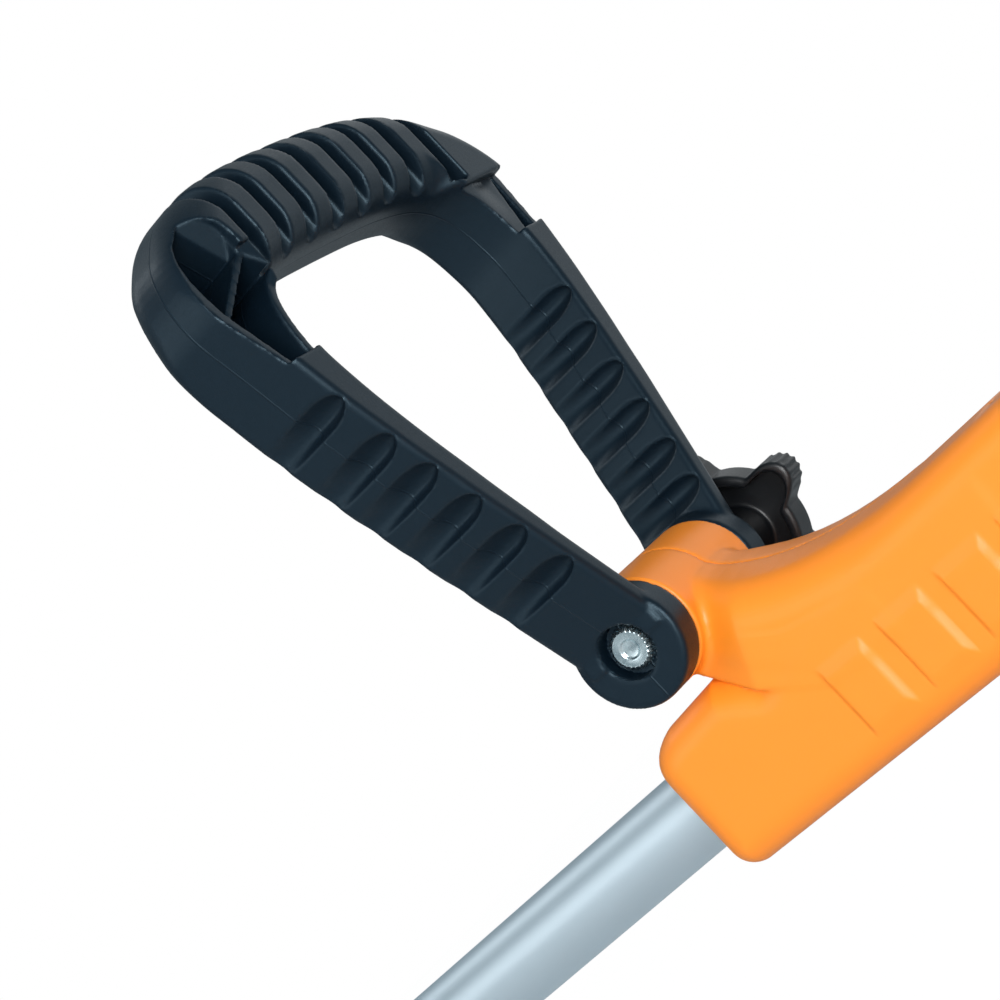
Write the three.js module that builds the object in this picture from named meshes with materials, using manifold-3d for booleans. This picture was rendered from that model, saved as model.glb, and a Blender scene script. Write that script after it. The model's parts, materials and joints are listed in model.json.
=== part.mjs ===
// String trimmer with a straight aluminium shaft, a rear electric motor, a bevel gear head,
// a bump-feed line head, a debris guard and an adjustable loop handle. Millimetres, +Z up.
//
// The trimmer lies on a floor, on its guard's rear edge and its rear housing's foot, with the
// origin under the middle of its box. Everything is drawn in the shaft frame first: X runs
// along the shaft tube to the rear, Z points up, and the origin is on the tube's axis, under
// the loop handle's pivot. layOnFloor() then sets the whole machine down.

import * as THREE from 'three';
import { mergeVertices } from 'three/addons/utils/BufferGeometryUtils.js';
import Module from 'manifold-3d';

const wasm = await Module();
wasm.setup();

// ---------- driving dimensions ----------

const clearance = 0.3; // between pieces that touch
const roundSides = 20; // facets of a large round piece
const smallSides = 12; // facets of a small round piece
const barrelSides = 32; // facets of the motor barrel and the line head
const flatness = 0.01; // facets closer than this are merged

const tubeRadius = 13;
const tubeWall = 1.5;
const tubeRear = 130; // the tube's end inside the housing
const headDistance = 1230; // from the pivot forward to the crossing of shaft and spindle
const headAngle = 32; // degrees between the spindle and the tube's normal

const pivotHeight = 48; // loop handle pivot above the tube's axis
const bossRadius = 17.2;
const bodyHalfWidth = 24.6; // front body and its pivot boss
const bodyTop = 32.3;
const bodyBottom = -24;
const mouthX = -29.5; // front face of the tube socket
const bodyRear = 158;
const bodyRound = 9; // radius of the body's long edges
const shellWall = 3;

const gripFront = 140;
const gripRear = 306;
const gripHalfWidth = 19;
const gripTop = 22;
const gripBottom = -26;
const gripRound = 12;

const barrelRadius = 54;
const barrelFront = 290;
const barrelRear = 440;
const capLength = 22;

const bowHalfWidth = 15;
const bowThickness = 13;
const footHalfWidth = 28;
const footRear = 436;
const footDrop = 86; // foot's rear corner below the tube's axis
const footRound = 6;

const driveRadius = 3.5;
const motorShaftRadius = 5;
const spindleRadius = 5;
const couplingRadius = 10;
const bearingWidth = 8;
const bearingRadius = 13;
const statorRadius = 44;
const statorLength = 62;
const statorFront = 330;
const armatureRadius = 23;
const fanRadius = 42;

const pinionTeeth = 12;
const crownTeeth = 17;
const gearModule = 2;
const gearFaceShare = 0.55; // front of a bevel gear, as a share of its back distance

const guardRadius = 172;
const guardReach = 0.965 * guardRadius; // spindle to the straight rear edge
const guardDepth = 93; // spindle crossing down to the skirt's edge
const guardWall = 3.5;
const lineReach = guardReach - guardWall - 2.5; // cut line's tip from the spindle
const guardTop = 30.3;
const lineRadius = 1.2;
const headRadius = 54;
const headTop = 41; // spindle crossing down to the line head's top
const bumpTravel = 6;

const handleHalfDepth = 15; // half of the loop's size along the shaft
const discOuter = 35.8; // outer face of the loop's pivot disc
const discRadius = 17.15;
const loopHeight = 172;
const loopHalfWidth = 82.6;
const gripThickness = 27.4;
const gripSlots = 8;
const gripSlotWidth = 5.6;
const gripSlotDepth = 6;
const boltRadius = 3.9;
const boltHeadRadius = 6;
const boltHeadDepth = 5.5; // recess in the left disc that holds the bolt's head
const knobInner = 52;
const knobOuter = 63;
const knobLobes = 5;
const knobRadius = 26;
const knobLobeHeight = 5.5;
const knobWall = 2.6;
const nutDepth = 7;
const nutRadius = 7.4;
const knobHubRadius = nutRadius + 3;

const triggerPivotX = 172;
const triggerPivotZ = -10;
const triggerHalfWidth = 6;
const triggerPinRadius = 2;
const lockX = 190;
const lockTravel = 3.5;
const screwRadius = 2;
const screwHeadRadius = 4;
const smallScrewRadius = 2.5; // guard and clamp screws
const smallScrewHead = 4.5;

// ---------- materials ----------

function finish(color, roughness, metalness) {
  return new THREE.MeshStandardMaterial({ color, roughness, metalness });
}

const orangePlastic = finish('#ff9320', 0.35, 0);
const blackPlastic = finish('#23282b', 0.6, 0);
const greyPlastic = finish('#4a4f52', 0.6, 0);
const aluminium = finish('#a9b0b4', 0.35, 1);
const castAluminium = finish('#8d9194', 0.5, 1);
const steel = finish('#b9bdc0', 0.3, 1);
const chrome = finish('#dfe5e8', 0.1, 1);
const laminations = finish('#5b5f63', 0.5, 1);
const copper = finish('#b8693a', 0.4, 1);
const brass = finish('#b99a4f', 0.35, 1);
const carbon = finish('#2b2b2b', 0.8, 0);
const nylonLine = finish('#e8701a', 0.4, 0);

// ---------- shape helpers ----------

// Turns a closed three.js geometry into a solid, facing out.
function toSolid(geometry) {
  const bare = geometry.clone();
  bare.deleteAttribute('normal');
  bare.deleteAttribute('uv');
  const merged = mergeVertices(bare, 1e-4);
  const corners = merged.getAttribute('position').array;
  const triangles = [];
  for (let i = 0; i < merged.index.count; i += 3) {
    const [a, b, c] = merged.index.array.slice(i, i + 3);
    if (a !== b && b !== c && a !== c) triangles.push([a, b, c]);
  }
  const corner = (i) => new THREE.Vector3().fromArray(corners, 3 * i);
  const volume = triangles.reduce(
    (sum, [a, b, c]) => sum + corner(a).dot(corner(b).cross(corner(c))), 0);
  const facing = volume > 0 ? triangles : triangles.map(([a, b, c]) => [a, c, b]);
  return new wasm.Manifold(new wasm.Mesh({
    numProp: 3,
    vertProperties: new Float32Array(corners),
    triVerts: new Uint32Array(facing.flat()),
  }));
}

function toGeometry(solid) {
  const mesh = solid.simplify(flatness).getMesh();
  const geometry = new THREE.BufferGeometry();
  geometry.setAttribute('position', new THREE.BufferAttribute(mesh.vertProperties, 3));
  geometry.setIndex(new THREE.BufferAttribute(mesh.triVerts, 1));
  geometry.computeVertexNormals();
  return geometry;
}

function block(x0, x1, y0, y1, z0, z1) {
  const geometry = new THREE.BoxGeometry(x1 - x0, y1 - y0, z1 - z0);
  return toSolid(geometry.translate((x0 + x1) / 2, (y0 + y1) / 2, (z0 + z1) / 2));
}

// Turns a geometry made along Y so that it lies along the named axis.
function alongAxis(geometry, axis) {
  if (axis === 'x') geometry.rotateZ(-Math.PI / 2);
  if (axis === 'z') geometry.rotateX(Math.PI / 2);
  return geometry;
}

function rod(axis, radius, from, to, sides = roundSides) {
  const geometry = new THREE.CylinderGeometry(radius, radius, to - from, sides);
  return toSolid(alongAxis(geometry.translate(0, (from + to) / 2, 0), axis));
}

// Turns a [radius, place] outline about the axis. It ends on the axis or closes on itself.
function turned(axis, outline, sides = roundSides) {
  const points = outline.map(([radius, place]) => new THREE.Vector2(radius, place));
  if (outline[0][0] > 0) points.push(points[0].clone());
  return toSolid(alongAxis(new THREE.LatheGeometry(points, sides), axis));
}

function ring(axis, inner, outer, from, to, sides = roundSides) {
  return turned(axis, [[inner, from], [outer, from], [outer, to], [inner, to]], sides);
}

// Extrudes a shape both ways along its normal, with its edges rounded. With an inset, it
// gives the hollow that leaves a wall of that thickness.
function rounded(shape, halfDepth, round, inset = 0, curveSegments = 6) {
  const radius = Math.max(round - inset, 0.4);
  const depth = 2 * (halfDepth - inset - radius);
  const geometry = new THREE.ExtrudeGeometry(shape, {
    depth, curveSegments, bevelThickness: radius, bevelSize: radius,
    bevelOffset: -radius - inset, bevelSegments: inset > 0 ? 1 : 2,
  });
  return geometry.translate(0, 0, -depth / 2);
}

function plain(shape, from, to, curveSegments = 6) {
  const geometry = new THREE.ExtrudeGeometry(
    shape, { depth: to - from, curveSegments, bevelEnabled: false });
  return geometry.translate(0, 0, from);
}

// A shape drawn in (x, z) is extruded across the machine.
function acrossMachine(geometry) {
  return toSolid(geometry.rotateX(Math.PI / 2));
}

// A shape drawn in (y, z) is extruded along the shaft.
function alongShaft(geometry) {
  const turn = new THREE.Matrix4().makeBasis(
    new THREE.Vector3(0, 1, 0), new THREE.Vector3(0, 0, 1), new THREE.Vector3(1, 0, 0));
  return toSolid(geometry.applyMatrix4(turn));
}

function outline(points) {
  return new THREE.Shape(points.map(([x, y]) => new THREE.Vector2(x, y)));
}

function joined(solids) {
  return solids.reduce((whole, solid) => whole.add(solid));
}

function helix(axis, radius, wire, from, to, turns) {
  class Coil extends THREE.Curve {
    getPoint(t) {
      const angle = 2 * Math.PI * turns * t;
      const place = THREE.MathUtils.lerp(from + wire, to - wire, t);
      return new THREE.Vector3(radius * Math.cos(angle), place, radius * Math.sin(angle));
    }
  }
  const section = new THREE.Shape().absarc(0, 0, wire, 0, 2 * Math.PI);
  const options = { steps: turns * 8, curveSegments: 2, extrudePath: new Coil() };
  return toSolid(alongAxis(new THREE.ExtrudeGeometry(section, options), axis));
}

function at(solid, x, z) {
  return solid.translate([x, 0, z]);
}

// Turns a solid about the Y axis, positive from Z towards X.
function tilted(solid, degrees) {
  return solid.rotate([0, degrees, 0]);
}

function piece(name, solid, material) {
  const mesh = new THREE.Mesh(toGeometry(solid), material);
  mesh.name = name;
  return mesh;
}

// ---------- where the machine meets the floor ----------

const headAxis = THREE.MathUtils.degToRad(headAngle);
const headX = -headDistance;
const guardContactX = headX - guardDepth * Math.sin(headAxis) + guardReach * Math.cos(headAxis);
const guardContactZ = -guardDepth * Math.cos(headAxis) - guardReach * Math.sin(headAxis);
const floorSlope = (-footDrop - guardContactZ) / (footRear - guardContactX);

function floorZ(x) {
  return -footDrop + (x - footRear) * floorSlope;
}

// ---------- housing ----------

// Side view of the front body: tube socket, pivot boss, saddle and flat top.
function bodyShape() {
  const mouthRound = 10;
  const tangent = THREE.MathUtils.degToRad(60.7);
  const saddleX = bossRadius * Math.cos(tangent);
  const saddleZ = pivotHeight + bossRadius * Math.sin(tangent);
  const saddleRear = 48;
  const saddleEnd = saddleZ - (saddleRear - saddleX) / Math.tan(tangent);
  const notchAngle = THREE.MathUtils.degToRad(-62);
  const socketTop = tubeRadius + 7.6;
  const shape = new THREE.Shape();
  shape.moveTo(mouthX, bodyBottom + mouthRound);
  shape.absarc(mouthX + mouthRound, bodyBottom + mouthRound, mouthRound,
    Math.PI, 1.5 * Math.PI);
  shape.lineTo(bodyRear, gripBottom + 2);
  shape.lineTo(bodyRear, gripTop - 1);
  shape.bezierCurveTo(bodyRear - 12, gripTop + 1, bodyRear - 18, bodyTop, bodyRear - 30, bodyTop);
  shape.lineTo(80, bodyTop);
  shape.bezierCurveTo(68, bodyTop, 60, saddleEnd - 6.5, saddleRear, saddleEnd);
  shape.lineTo(saddleX, saddleZ);
  shape.absarc(0, pivotHeight, bossRadius, tangent, 2 * Math.PI + notchAngle);
  shape.lineTo(7, 28.2);
  shape.lineTo(mouthX + 9, socketTop);
  shape.quadraticCurveTo(mouthX + 1, socketTop - 2, mouthX, socketTop - 10);
  return shape;
}

function gripShape() {
  return outline([
    [gripFront, gripBottom], [gripRear, gripBottom], [gripRear, gripTop],
    [(gripFront + gripRear) / 2, gripTop + 1], [gripFront, gripTop]]);
}

// The bow under the grip runs from the body down to the foot, round the hand opening.
function bowShape() {
  const innerFloor = (x) => floorZ(x) + bowThickness;
  const top = gripBottom + 34;
  const rearTop = 9 - barrelRadius;
  const shape = new THREE.Shape();
  shape.moveTo(gripFront + 4, top);
  shape.lineTo(gripFront + 4, gripBottom);
  shape.bezierCurveTo(gripFront + 4, -60, gripFront + 14, floorZ(gripFront + 40),
    gripFront + 40, floorZ(gripFront + 40));
  shape.lineTo(footRear - 8, floorZ(footRear - 8));
  shape.lineTo(footRear - 8, rearTop);
  shape.lineTo(gripRear - 6, rearTop);
  shape.lineTo(gripRear - 6, top);
  const opening = new THREE.Path();
  opening.moveTo(gripFront + 28, gripBottom + 9);
  opening.bezierCurveTo(gripFront + 20, -56, gripFront + 28, innerFloor(gripFront + 46),
    gripFront + 46, innerFloor(gripFront + 46));
  opening.lineTo(gripRear - 30, innerFloor(gripRear - 30));
  opening.bezierCurveTo(gripRear - 12, innerFloor(gripRear - 12), gripRear - 16, -50,
    gripRear - 20, gripBottom + 9);
  shape.holes.push(opening);
  return shape;
}

function footShape() {
  const top = 16 - barrelRadius;
  return outline([
    [gripRear, floorZ(gripRear)], [footRear, floorZ(footRear)],
    [footRear, inletTop + 2], [footRear - 14, top], [gripRear, top]]);
}

function barrel(inset) {
  const radius = barrelRadius - inset;
  const front = barrelFront + 2 * inset;
  return turned('x', [
    [0, front], [26 - inset, front], [barrelRadius - 10 - inset, front + 8],
    [radius - 2, front + 18], [radius, front + 28], [radius, barrelRear + inset / 3],
    [0, barrelRear + inset / 3]], barrelSides);
}

// The whole housing as one lump, or the hollow inside it when given the wall's thickness.
function housingLump(inset) {
  const parts = [
    acrossMachine(rounded(bodyShape(), bodyHalfWidth, bodyRound, inset, 5)),
    acrossMachine(rounded(gripShape(), gripHalfWidth, gripRound, inset)),
    acrossMachine(rounded(bowShape(), bowHalfWidth, 5, inset)),
    acrossMachine(rounded(footShape(), footHalfWidth, footRound, inset)),
    barrel(inset),
  ];
  const boss = at(rod('y', bossRadius, -bodyHalfWidth, bodyHalfWidth), 0, pivotHeight);
  return joined(inset === 0 ? [...parts, boss] : parts);
}

// Each housing screw: its place in the side view and the half width that it crosses.
const housingScrews = [
  { x: 60, z: bodyTop - 9.8, half: bodyHalfWidth },
  { x: bodyRear - 10, z: gripTop - 7, half: bodyHalfWidth },
  { x: gripFront + 15.5, z: gripBottom - 20, half: bowHalfWidth },
  { x: gripRear - 22, z: gripTop - 5.5, half: gripHalfWidth },
  { x: footRear - 51, z: 20 - footDrop, half: footHalfWidth },
];

const inletHalfWidth = 15;
const inletBottom = 6 - footDrop;
const inletTop = inletBottom + 22;
const inletFront = footRear - 26;
const inletRear = footRear + 5;
const switchFront = 243;
const switchLength = 22;
const switchTop = -7;
const switchBottom = -21;
const switchHalfWidth = 6;
const grilleFront = 396;
const grilleLength = 34;
const grilleHalfHeight = 22;
const triggerSpringX = triggerPivotX + 43;
const lockShelf = driveRadius + 1.2;

function ribs(lump) {
  const slab = (x0, x1, z0, z1) => lump.intersect(block(x0, x1, -99, 99, z0, z1));
  const tubeRibs = [[mouthX, mouthX + 12], [54, 62], [tubeRear - 12, tubeRear + 4]];
  const bearingRib = slab(barrelFront + 2, barrelFront + 14, -barrelRadius, barrelRadius);
  const statorRibs = [statorFront + 6, statorFront + statorLength - 12].map(
    (x) => slab(x, x + 6, -barrelRadius, barrelRadius));
  const switchCradle = slab(switchFront, switchFront + switchLength, gripBottom, gripTop);
  const shelves = [
    block(lockX - 8, lockX + 8, -gripHalfWidth + 1, gripHalfWidth - 1,
      lockShelf, lockShelf + 2),
    block(triggerSpringX - 7, triggerSpringX + 7, -gripHalfWidth + 1, gripHalfWidth - 1,
      -lockShelf - 2, -lockShelf),
  ];
  const bosses = housingScrews.map(({ x, z, half }) => lump.intersect(
    at(rod('y', screwRadius + 2.6, -half, half, smallSides), x, z)));
  const pivotCore = at(rod('y', boltRadius + 5, 1 - bodyHalfWidth, bodyHalfWidth - 1),
    0, pivotHeight);
  return joined([
    ...tubeRibs.map(([x0, x1]) => slab(x0, x1, bodyBottom, bodyTop)),
    bearingRib, ...statorRibs, switchCradle, ...shelves, ...bosses, pivotCore]);
}

function bores() {
  const cuts = [
    rod('x', tubeRadius + clearance, mouthX - 1, tubeRear + clearance),
    rod('x', driveRadius + 1.1, tubeRear, barrelFront + 15, smallSides),
    rod('x', couplingRadius + 1.5, barrelFront - 24, barrelFront + 2.5),
    rod('x', bearingRadius + clearance, barrelFront + 4 - clearance, barrelFront + 15),
    rod('x', motorShaftRadius + 2, barrelFront, barrelFront + 15, smallSides),
    rod('x', statorRadius + clearance, barrelFront + 20, barrelRear + 1),
    at(rod('y', boltRadius + 0.4, -30, 30, smallSides), 0, pivotHeight),
    block(triggerPivotX - 10, switchFront - 1, -triggerHalfWidth - 0.5,
      triggerHalfWidth + 0.5, gripBottom - 1, gripBottom + shellWall + 1),
    block(lockX - 7 - clearance, lockX + 7 + clearance, -5 - clearance, 5 + clearance,
      gripTop - 6, gripTop + 3),
    block(switchFront - clearance, switchFront + switchLength + 1,
      -switchHalfWidth - clearance, switchHalfWidth + clearance,
      switchBottom - clearance, switchTop + clearance),
    block(inletFront - 3, inletRear, -inletHalfWidth - clearance, inletHalfWidth + clearance,
      inletBottom - clearance, inletTop + clearance),
    block(grilleFront, grilleFront + grilleLength, -99, -30, -grilleHalfHeight,
      grilleHalfHeight),
    block(grilleFront, grilleFront + grilleLength, 30, 99, -grilleHalfHeight,
      grilleHalfHeight),
  ];
  for (const { x, z, half } of housingScrews) {
    cuts.push(at(rod('y', screwRadius + clearance, 5 - half, half + 1, smallSides), x, z));
    cuts.push(at(rod('y', screwHeadRadius + 0.4, half - 4, half + 9, smallSides), x, z));
  }
  for (let slot = -2; slot <= 2; slot += 1) {
    cuts.push(block(barrelFront + 20, barrelFront + 36, -99, 99, slot * 8 - 1.5,
      slot * 8 + 1.5).subtract(block(0, 999, -40, 40, -99, 99)));
  }
  return joined(cuts);
}

function housing() {
  const lump = housingLump(0);
  const shell = lump.subtract(housingLump(shellWall)).add(ribs(lump)).subtract(bores());
  const half = clearance / 2;
  return {
    left: shell.intersect(block(-999, 999, -99, -half, -300, 300)),
    right: shell.intersect(block(-999, 999, half, 99, -300, 300)),
  };
}

// A curved louvre that fills the barrel's side window.
function ventGrille(side) {
  const near = Math.sqrt(barrelRadius ** 2 - grilleHalfHeight ** 2) - shellWall - 2;
  const window = block(grilleFront + clearance, grilleFront + grilleLength - clearance,
    near, barrelRadius + 1, clearance - grilleHalfHeight, grilleHalfHeight - clearance);
  let panel = ring('x', barrelRadius - shellWall, barrelRadius, grilleFront,
    grilleFront + grilleLength, barrelSides).intersect(window);
  for (let slot = -2; slot <= 2; slot += 1) {
    panel = panel.subtract(block(grilleFront + 4, grilleFront + grilleLength - 4, near - 9,
      barrelRadius + 9, slot * 7.5 - 1.6, slot * 7.5 + 1.6));
  }
  return side < 0 ? panel.mirror([0, 1, 0]) : panel;
}

function housingScrew({ x, z, half }) {
  const shank = rod('y', screwRadius, 6 - half, half - 3, smallSides);
  const head = rod('y', screwHeadRadius, half - 4 + clearance, half - 1, smallSides);
  return at(shank.add(head), x, z);
}

// ---------- motor and rear end ----------

function motorEndCap() {
  const rear = barrelRear + capLength;
  const seat = bearingRadius + clearance;
  let cap = turned('x', [
    [0, rear], [barrelRadius - 14, rear], [barrelRadius - 4, rear - 4],
    [barrelRadius, rear - 12], [barrelRadius, barrelRear + clearance],
    [barrelRadius - 3, barrelRear + clearance], [barrelRadius - 3, rear - 12],
    [barrelRadius - 7, rear - 7], [barrelRadius - 15, rear - 4],
    [seat + 3, rear - 4], [seat + 3, barrelRear - 12], [seat, barrelRear - 12],
    [seat, barrelRear], [motorShaftRadius + 4, barrelRear], [motorShaftRadius + 4, rear - 4],
    [0, rear - 4]], barrelSides);
  for (let slot = 0; slot < 8; slot += 1) {
    const vent = block(rear - 9, rear + 1, -1.7, 1.7, seat + 7, barrelRadius - 17);
    cap = cap.subtract(vent.rotate([slot * 45, 0, 0]));
  }
  return cap;
}

function stator() {
  const rear = statorFront + statorLength;
  const bore = armatureRadius + 1;
  return turned('x', [
    [bore, statorFront], [bore + 3, statorFront], [bore + 4, statorFront - 9],
    [statorRadius - 6, statorFront - 9], [statorRadius - 5, statorFront],
    [statorRadius, statorFront], [statorRadius, rear], [statorRadius - 5, rear],
    [statorRadius - 6, rear + 9], [bore + 4, rear + 9], [bore + 3, rear], [bore, rear]]);
}

function armature() {
  const rear = statorFront + statorLength;
  const bore = motorShaftRadius + clearance;
  return turned('x', [
    [bore, statorFront - 8], [armatureRadius - 7, statorFront - 8],
    [armatureRadius - 4, statorFront], [armatureRadius, statorFront],
    [armatureRadius, rear], [armatureRadius - 4, rear], [armatureRadius - 8, rear + 9],
    [bore, rear + 9]]);
}

function coolingFan() {
  const front = barrelFront + 19;
  const bore = motorShaftRadius + clearance;
  let fan = turned('x', [
    [bore, front - 2], [12, front - 2], [12, front], [fanRadius, front],
    [fanRadius, front + 2], [bore, front + 2]]);
  for (let blade = 0; blade < 9; blade += 1) {
    fan = fan.add(block(front + 1, front + 9, -1, 1, 15, fanRadius - 1)
      .rotate([blade * 40, 0, 0]));
  }
  return fan;
}

const commutatorRadius = 14;
const commutatorFront = statorFront + statorLength + 12;
const commutatorLength = 16;
const brushFront = commutatorFront + 4;
const brushLength = 8;

function carbonBrush(up) {
  const low = commutatorRadius + clearance + 0.1;
  const brush = block(brushFront, brushFront + brushLength, -3, 3, low, low + 22);
  return up ? brush : brush.mirror([0, 0, 1]);
}

function brushHolder(up) {
  const wall = 1.6;
  const reach = Math.sqrt((barrelRadius - shellWall) ** 2 - 5 ** 2) - clearance;
  const body = block(brushFront - clearance - wall, brushFront + brushLength + clearance + wall,
    -3 - clearance - wall, 3 + clearance + wall, commutatorRadius + 3, reach);
  const hole = block(brushFront - clearance, brushFront + brushLength + clearance,
    -3 - clearance, 3 + clearance, 0, commutatorRadius + 30);
  const holder = body.subtract(hole);
  return up ? holder : holder.mirror([0, 0, 1]);
}

function shaftCoupling(join) {
  const front = join - 12;
  const rear = join + 11;
  return turned('x', [
    [driveRadius + clearance, front], [couplingRadius, front], [couplingRadius, rear],
    [motorShaftRadius + clearance, rear], [motorShaftRadius + clearance, join],
    [driveRadius + clearance, join]], smallSides);
}

function powerInlet() {
  const recess = block(inletFront + 10, inletRear + 1, 3 - inletHalfWidth,
    inletHalfWidth - 3, inletBottom + 3, inletTop - 3);
  let inlet = block(inletFront, inletRear, -inletHalfWidth, inletHalfWidth, inletBottom,
    inletTop).subtract(recess);
  for (const side of [-1, 1]) {
    const pin = rod('x', 2, inletFront + 9, inletRear - 5, smallSides);
    inlet = inlet.add(pin.translate([0, side * 6, (inletBottom + inletTop) / 2]));
  }
  return inlet;
}

// ---------- trigger and lock-off button ----------

function trigger() {
  const ear = at(rod('y', 5.5, -triggerHalfWidth, triggerHalfWidth, smallSides),
    triggerPivotX, triggerPivotZ);
  const rear = triggerPivotX + 64;
  const blade = new THREE.Shape();
  blade.moveTo(triggerPivotX - 4, triggerPivotZ - 4);
  blade.lineTo(triggerPivotX + 4, triggerPivotZ - 4);
  blade.lineTo(rear, triggerPivotZ - 7);
  blade.lineTo(rear, triggerPivotZ - 14);
  blade.quadraticCurveTo(rear - 18, triggerPivotZ - 26, triggerPivotX + 26,
    triggerPivotZ - 29);
  blade.quadraticCurveTo(triggerPivotX - 4, triggerPivotZ - 34, triggerPivotX - 5,
    triggerPivotZ - 14);
  const lever = ear.add(acrossMachine(rounded(blade, triggerHalfWidth, 2)));
  return lever.subtract(at(rod('y', triggerPinRadius + clearance, -9, 9, smallSides),
    triggerPivotX, triggerPivotZ));
}

function triggerPin() {
  const reach = gripHalfWidth - shellWall - clearance;
  return at(rod('y', triggerPinRadius, -reach, reach, smallSides),
    triggerPivotX, triggerPivotZ);
}

const triggerSpringTop = -lockShelf - 2 - clearance;
const triggerSpringBottom = triggerPivotZ - 6 + clearance;
const lockFlangeTop = gripTop - shellWall + 0.4 - clearance;

function lockButton() {
  const stem = block(lockX - 7, lockX + 7, -5, 5, lockFlangeTop - 3, gripTop + 6);
  return stem.add(block(lockX - 10, lockX + 10, -7, 7, lockFlangeTop - 3, lockFlangeTop));
}

// ---------- gear head (drawn about the crossing of shaft and spindle) ----------

// The spindle frame: Z up the spindle, X to the rear and, with the shaft level, downwards.
// The shaft then rises to the rear at headAngle.

const shaftAngle = Math.PI / 2 - headAxis; // between the two gears' axes
const pinionCone = Math.atan(
  Math.sin(shaftAngle) / (crownTeeth / pinionTeeth + Math.cos(shaftAngle)));
const crownCone = shaftAngle - pinionCone;
const pinionPitch = gearModule * pinionTeeth / 2;
const crownPitch = gearModule * crownTeeth / 2;
const pinionBack = pinionPitch / Math.tan(pinionCone);
const crownBack = crownPitch / Math.tan(crownCone);

// A straight bevel gear whose teeth taper to the origin, with its back at z = back.
function bevelGear(teeth, pitch, back, bore, toothAtStart) {
  const addendum = 0.7 * gearModule;
  const dedendum = 1.15 * gearModule;
  const points = [];
  const step = 2 * Math.PI / teeth;
  for (let tooth = 0; tooth < teeth; tooth += 1) {
    const middle = (tooth + (toothAtStart ? 0 : 0.5)) * step;
    const corners = [
      [-0.3, pitch - dedendum], [-0.12, pitch + addendum],
      [0.12, pitch + addendum], [0.3, pitch - dedendum]];
    for (const [share, radius] of corners) {
      const angle = middle + share * step;
      points.push([radius * Math.cos(angle), radius * Math.sin(angle)]);
    }
  }
  const front = back * gearFaceShare;
  const geometry = plain(outline(points), front, back);
  const corners = geometry.getAttribute('position');
  for (let i = 0; i < corners.count; i += 1) {
    const share = corners.getZ(i) / back;
    corners.setXY(i, corners.getX(i) * share, corners.getY(i) * share);
  }
  return toSolid(geometry).subtract(rod('z', bore, front - 1, back + 1, smallSides));
}

const inputSeat = pinionBack + 4;
const inputBearingRadius = 11;
const tubeFront = inputSeat + bearingWidth + 6;
const socketEnd = tubeFront + 41;
const caseRadius = crownPitch + 7;
const caseTop = crownBack + 6;
const caseFlange = guardTop - clearance;
const outputSeat = 12;
const guardScrewCircle = 23;
const clampX = socketEnd - 20;

// Lays a solid drawn along +X from the crossing on the shaft, as the spindle frame sees it.
function onShaft(solid) {
  return tilted(solid, -headAngle);
}

function gearCase() {
  const socketRadius = tubeRadius + 5;
  const ear = block(clampX - 9, clampX + 9, -11, 11, -tubeRadius - 18, -tubeRadius - 2);
  const capRoom = rod('z', caseRadius + clearance, caseTop, caseTop + 12);
  const outer = joined([
    rod('z', caseRadius, -caseFlange + 4, caseTop),
    rod('z', guardScrewCircle + 7, -caseFlange, 8 - caseFlange),
    onShaft(rod('x', socketRadius, 18, socketEnd)),
    onShaft(ear)]).subtract(capRoom);
  let hollow = joined([
    rod('z', caseRadius - 3.5, 3, caseTop + 1),
    rod('z', spindleRadius + 3, -caseFlange - 1, 9, smallSides),
    rod('z', bearingRadius + clearance, -caseFlange - 1, clearance - outputSeat),
    onShaft(rod('x', pinionPitch + 2.8, 8, inputSeat - clearance)),
    onShaft(rod('x', inputBearingRadius + clearance, 20, inputSeat + bearingWidth + clearance)),
    onShaft(rod('x', inputBearingRadius - 2, 20, tubeFront)),
    onShaft(rod('x', tubeRadius + clearance, tubeFront - clearance, socketEnd + 1)),
    onShaft(block(tubeFront + 6, socketEnd + 1, -1, 1, -tubeRadius - 19, -tubeRadius + 2)),
    onShaft(at(rod('y', smallScrewRadius + clearance, -12, 12, smallSides), clampX, -tubeRadius - 11)),
  ]);
  for (const side of [-1, 1]) {
    const hole = rod('z', smallScrewRadius + clearance, -caseFlange - 1, 6.5 - caseFlange, smallSides);
    hollow = hollow.add(hole.translate([0, side * guardScrewCircle, 0]));
  }
  return outer.subtract(hollow);
}

function gearCaseCap() {
  const bottom = caseTop + clearance;
  const plug = caseRadius - 3.5 - clearance;
  const bore = spindleRadius + clearance + 0.3;
  return turned('z', [
    [0, bottom + 5], [caseRadius - 6, bottom + 5], [caseRadius, bottom + 3],
    [caseRadius, bottom], [plug, bottom], [plug, bottom - 4], [bore, bottom - 4],
    [bore, bottom + 2], [0, bottom + 2]]);
}

function clampScrew() {
  const shank = rod('y', smallScrewRadius, -10, 11.5, smallSides);
  const head = rod('y', smallScrewHead, 11 + clearance, 15, 6);
  return onShaft(at(shank.add(head), clampX, -tubeRadius - 11));
}

function outputSpindle() {
  const flange = headTop - clearance;
  return turned('z', [
    [0, caseTop + 1.5], [spindleRadius, caseTop + 1.5], [spindleRadius, 4 - flange],
    [13, 4 - flange], [13, -flange], [spindleRadius, -flange],
    [spindleRadius, -headTop - 20], [0, -headTop - 20]]);
}

// ---------- debris guard ----------

const guardPadRadius = 34;
const guardSideAngle = THREE.MathUtils.degToRad(70); // from the rear to the skirt's side ends

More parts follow.
